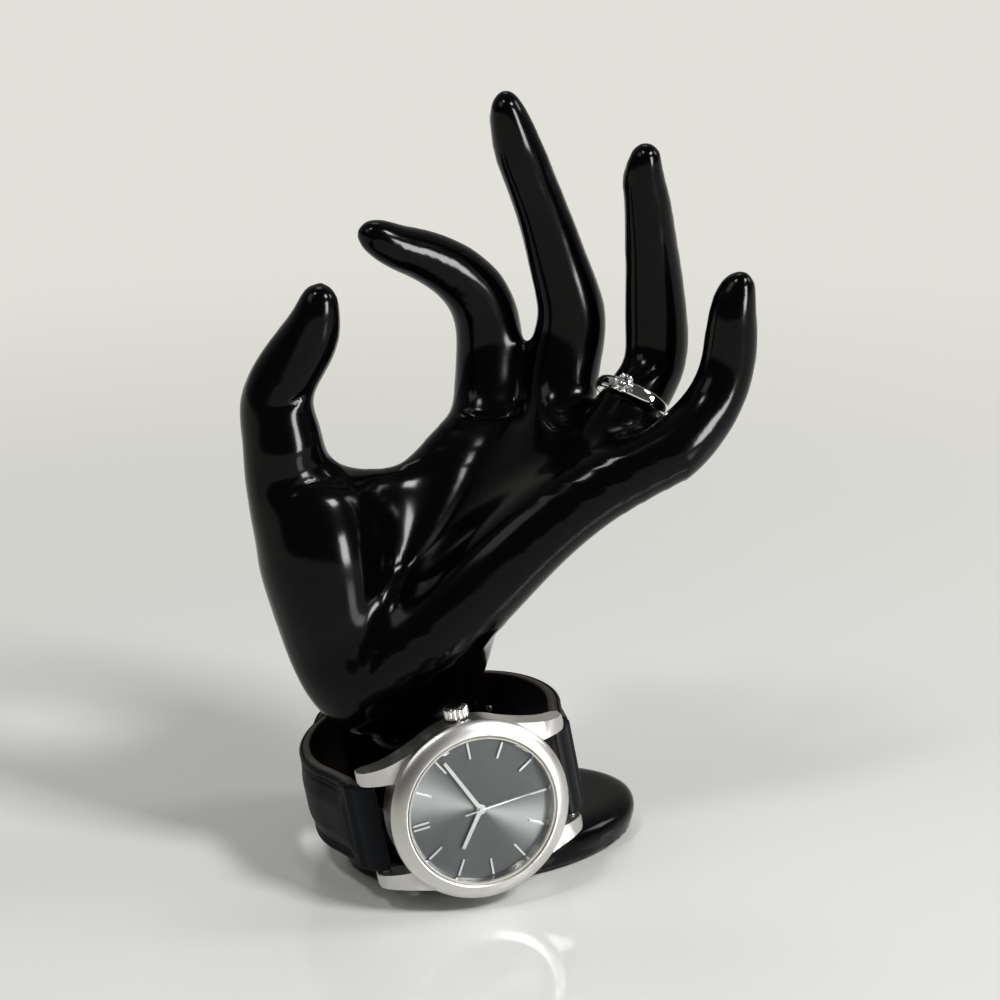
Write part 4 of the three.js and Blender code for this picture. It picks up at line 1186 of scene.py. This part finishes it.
def makeFloor():
    shape = bmesh.new()
    bmesh.ops.create_grid(shape, x_segments=1, y_segments=1, size=studio["floorSize"] / 2)
    floor = asObject("floor", shape)
    made = Finish("paleFloor", Roughness=0.07, IOR=1.45)
    tint = made.spots(3.0, 2.0)
    made.set("Base Color", made.ramp(tint, (0.3, (0.79, 0.8, 0.775)), (0.7, (0.81, 0.82, 0.795))))
    # far from the object the floor keeps one pale level to the eye
    where = made.add("TexCoord", output="Object")
    away = made.add("VectorMath", {"operation": "LENGTH"}, {0: where}, "Value")
    far = made.add("MapRange", {"interpolation_type": "SMOOTHSTEP"}, {
        "Value": away, "From Min": studio["nearFloor"], "From Max": studio["farFloor"],
    })
    seen = made.add("LightPath", output="Is Camera Ray")
    for kind in ("Is Glossy Ray", "Is Transmission Ray"):
        seen = seen.maths("MAXIMUM", seen, made.add("LightPath", output=kind))
    pale = made.add("Emission", None, {"Color": studio["farColour"], "Strength": 1.0})
    mixed = made.add("MixShader", None, {0: far * seen, 1: Wire(made, made.surface.outputs[0]), 2: pale})
    made.tree.links.new(mixed.socket, made.tree.nodes["Material Output"].inputs["Surface"])
    floor.data.materials.append(made.material)


def makeWorld():
    world = bpy.data.worlds.new("studioWorld")
    scene.world = world
    world.use_nodes = True
    tree = world.node_tree
    background = tree.nodes["Background"]
    where = tree.nodes.new("ShaderNodeTexCoord")
    parts = tree.nodes.new("ShaderNodeSeparateXYZ")
    tree.links.new(where.outputs["Generated"], parts.inputs["Vector"])
    ramp = tree.nodes.new("ShaderNodeMapRange")
    ramp.inputs["From Min"].default_value = -0.2
    ramp.inputs["From Max"].default_value = 0.9
    ramp.inputs["To Min"].default_value = studio["worldLow"]
    ramp.inputs["To Max"].default_value = studio["worldHigh"]
    tree.links.new(parts.outputs["Y"], ramp.inputs["Value"])
    tree.links.new(ramp.outputs["Result"], background.inputs["Strength"])
    background.inputs["Color"].default_value = studio["worldColour"]


def makeCamera():
    data = bpy.data.cameras.new("photoCamera")
    data.lens = studio["lens"]
    data.sensor_width = studio["sensor"]
    made = bpy.data.objects.new("photoCamera", data)
    scene.collection.objects.link(made)
    tilt = math.radians(studio["elevation"])
    back = Vector((0, -math.cos(tilt), math.sin(tilt)))
    made.location = Vector(studio["lookAt"]) + back * studio["distance"]
    made.rotation_euler = (math.pi / 2 - tilt, 0, 0)
    scene.camera = made


for name, settings in softBoxes.items():
    softBox(name, *settings)
makeFloor()
makeWorld()
makeCamera()
scene.view_settings.view_transform = "Standard"

print("studio ready")
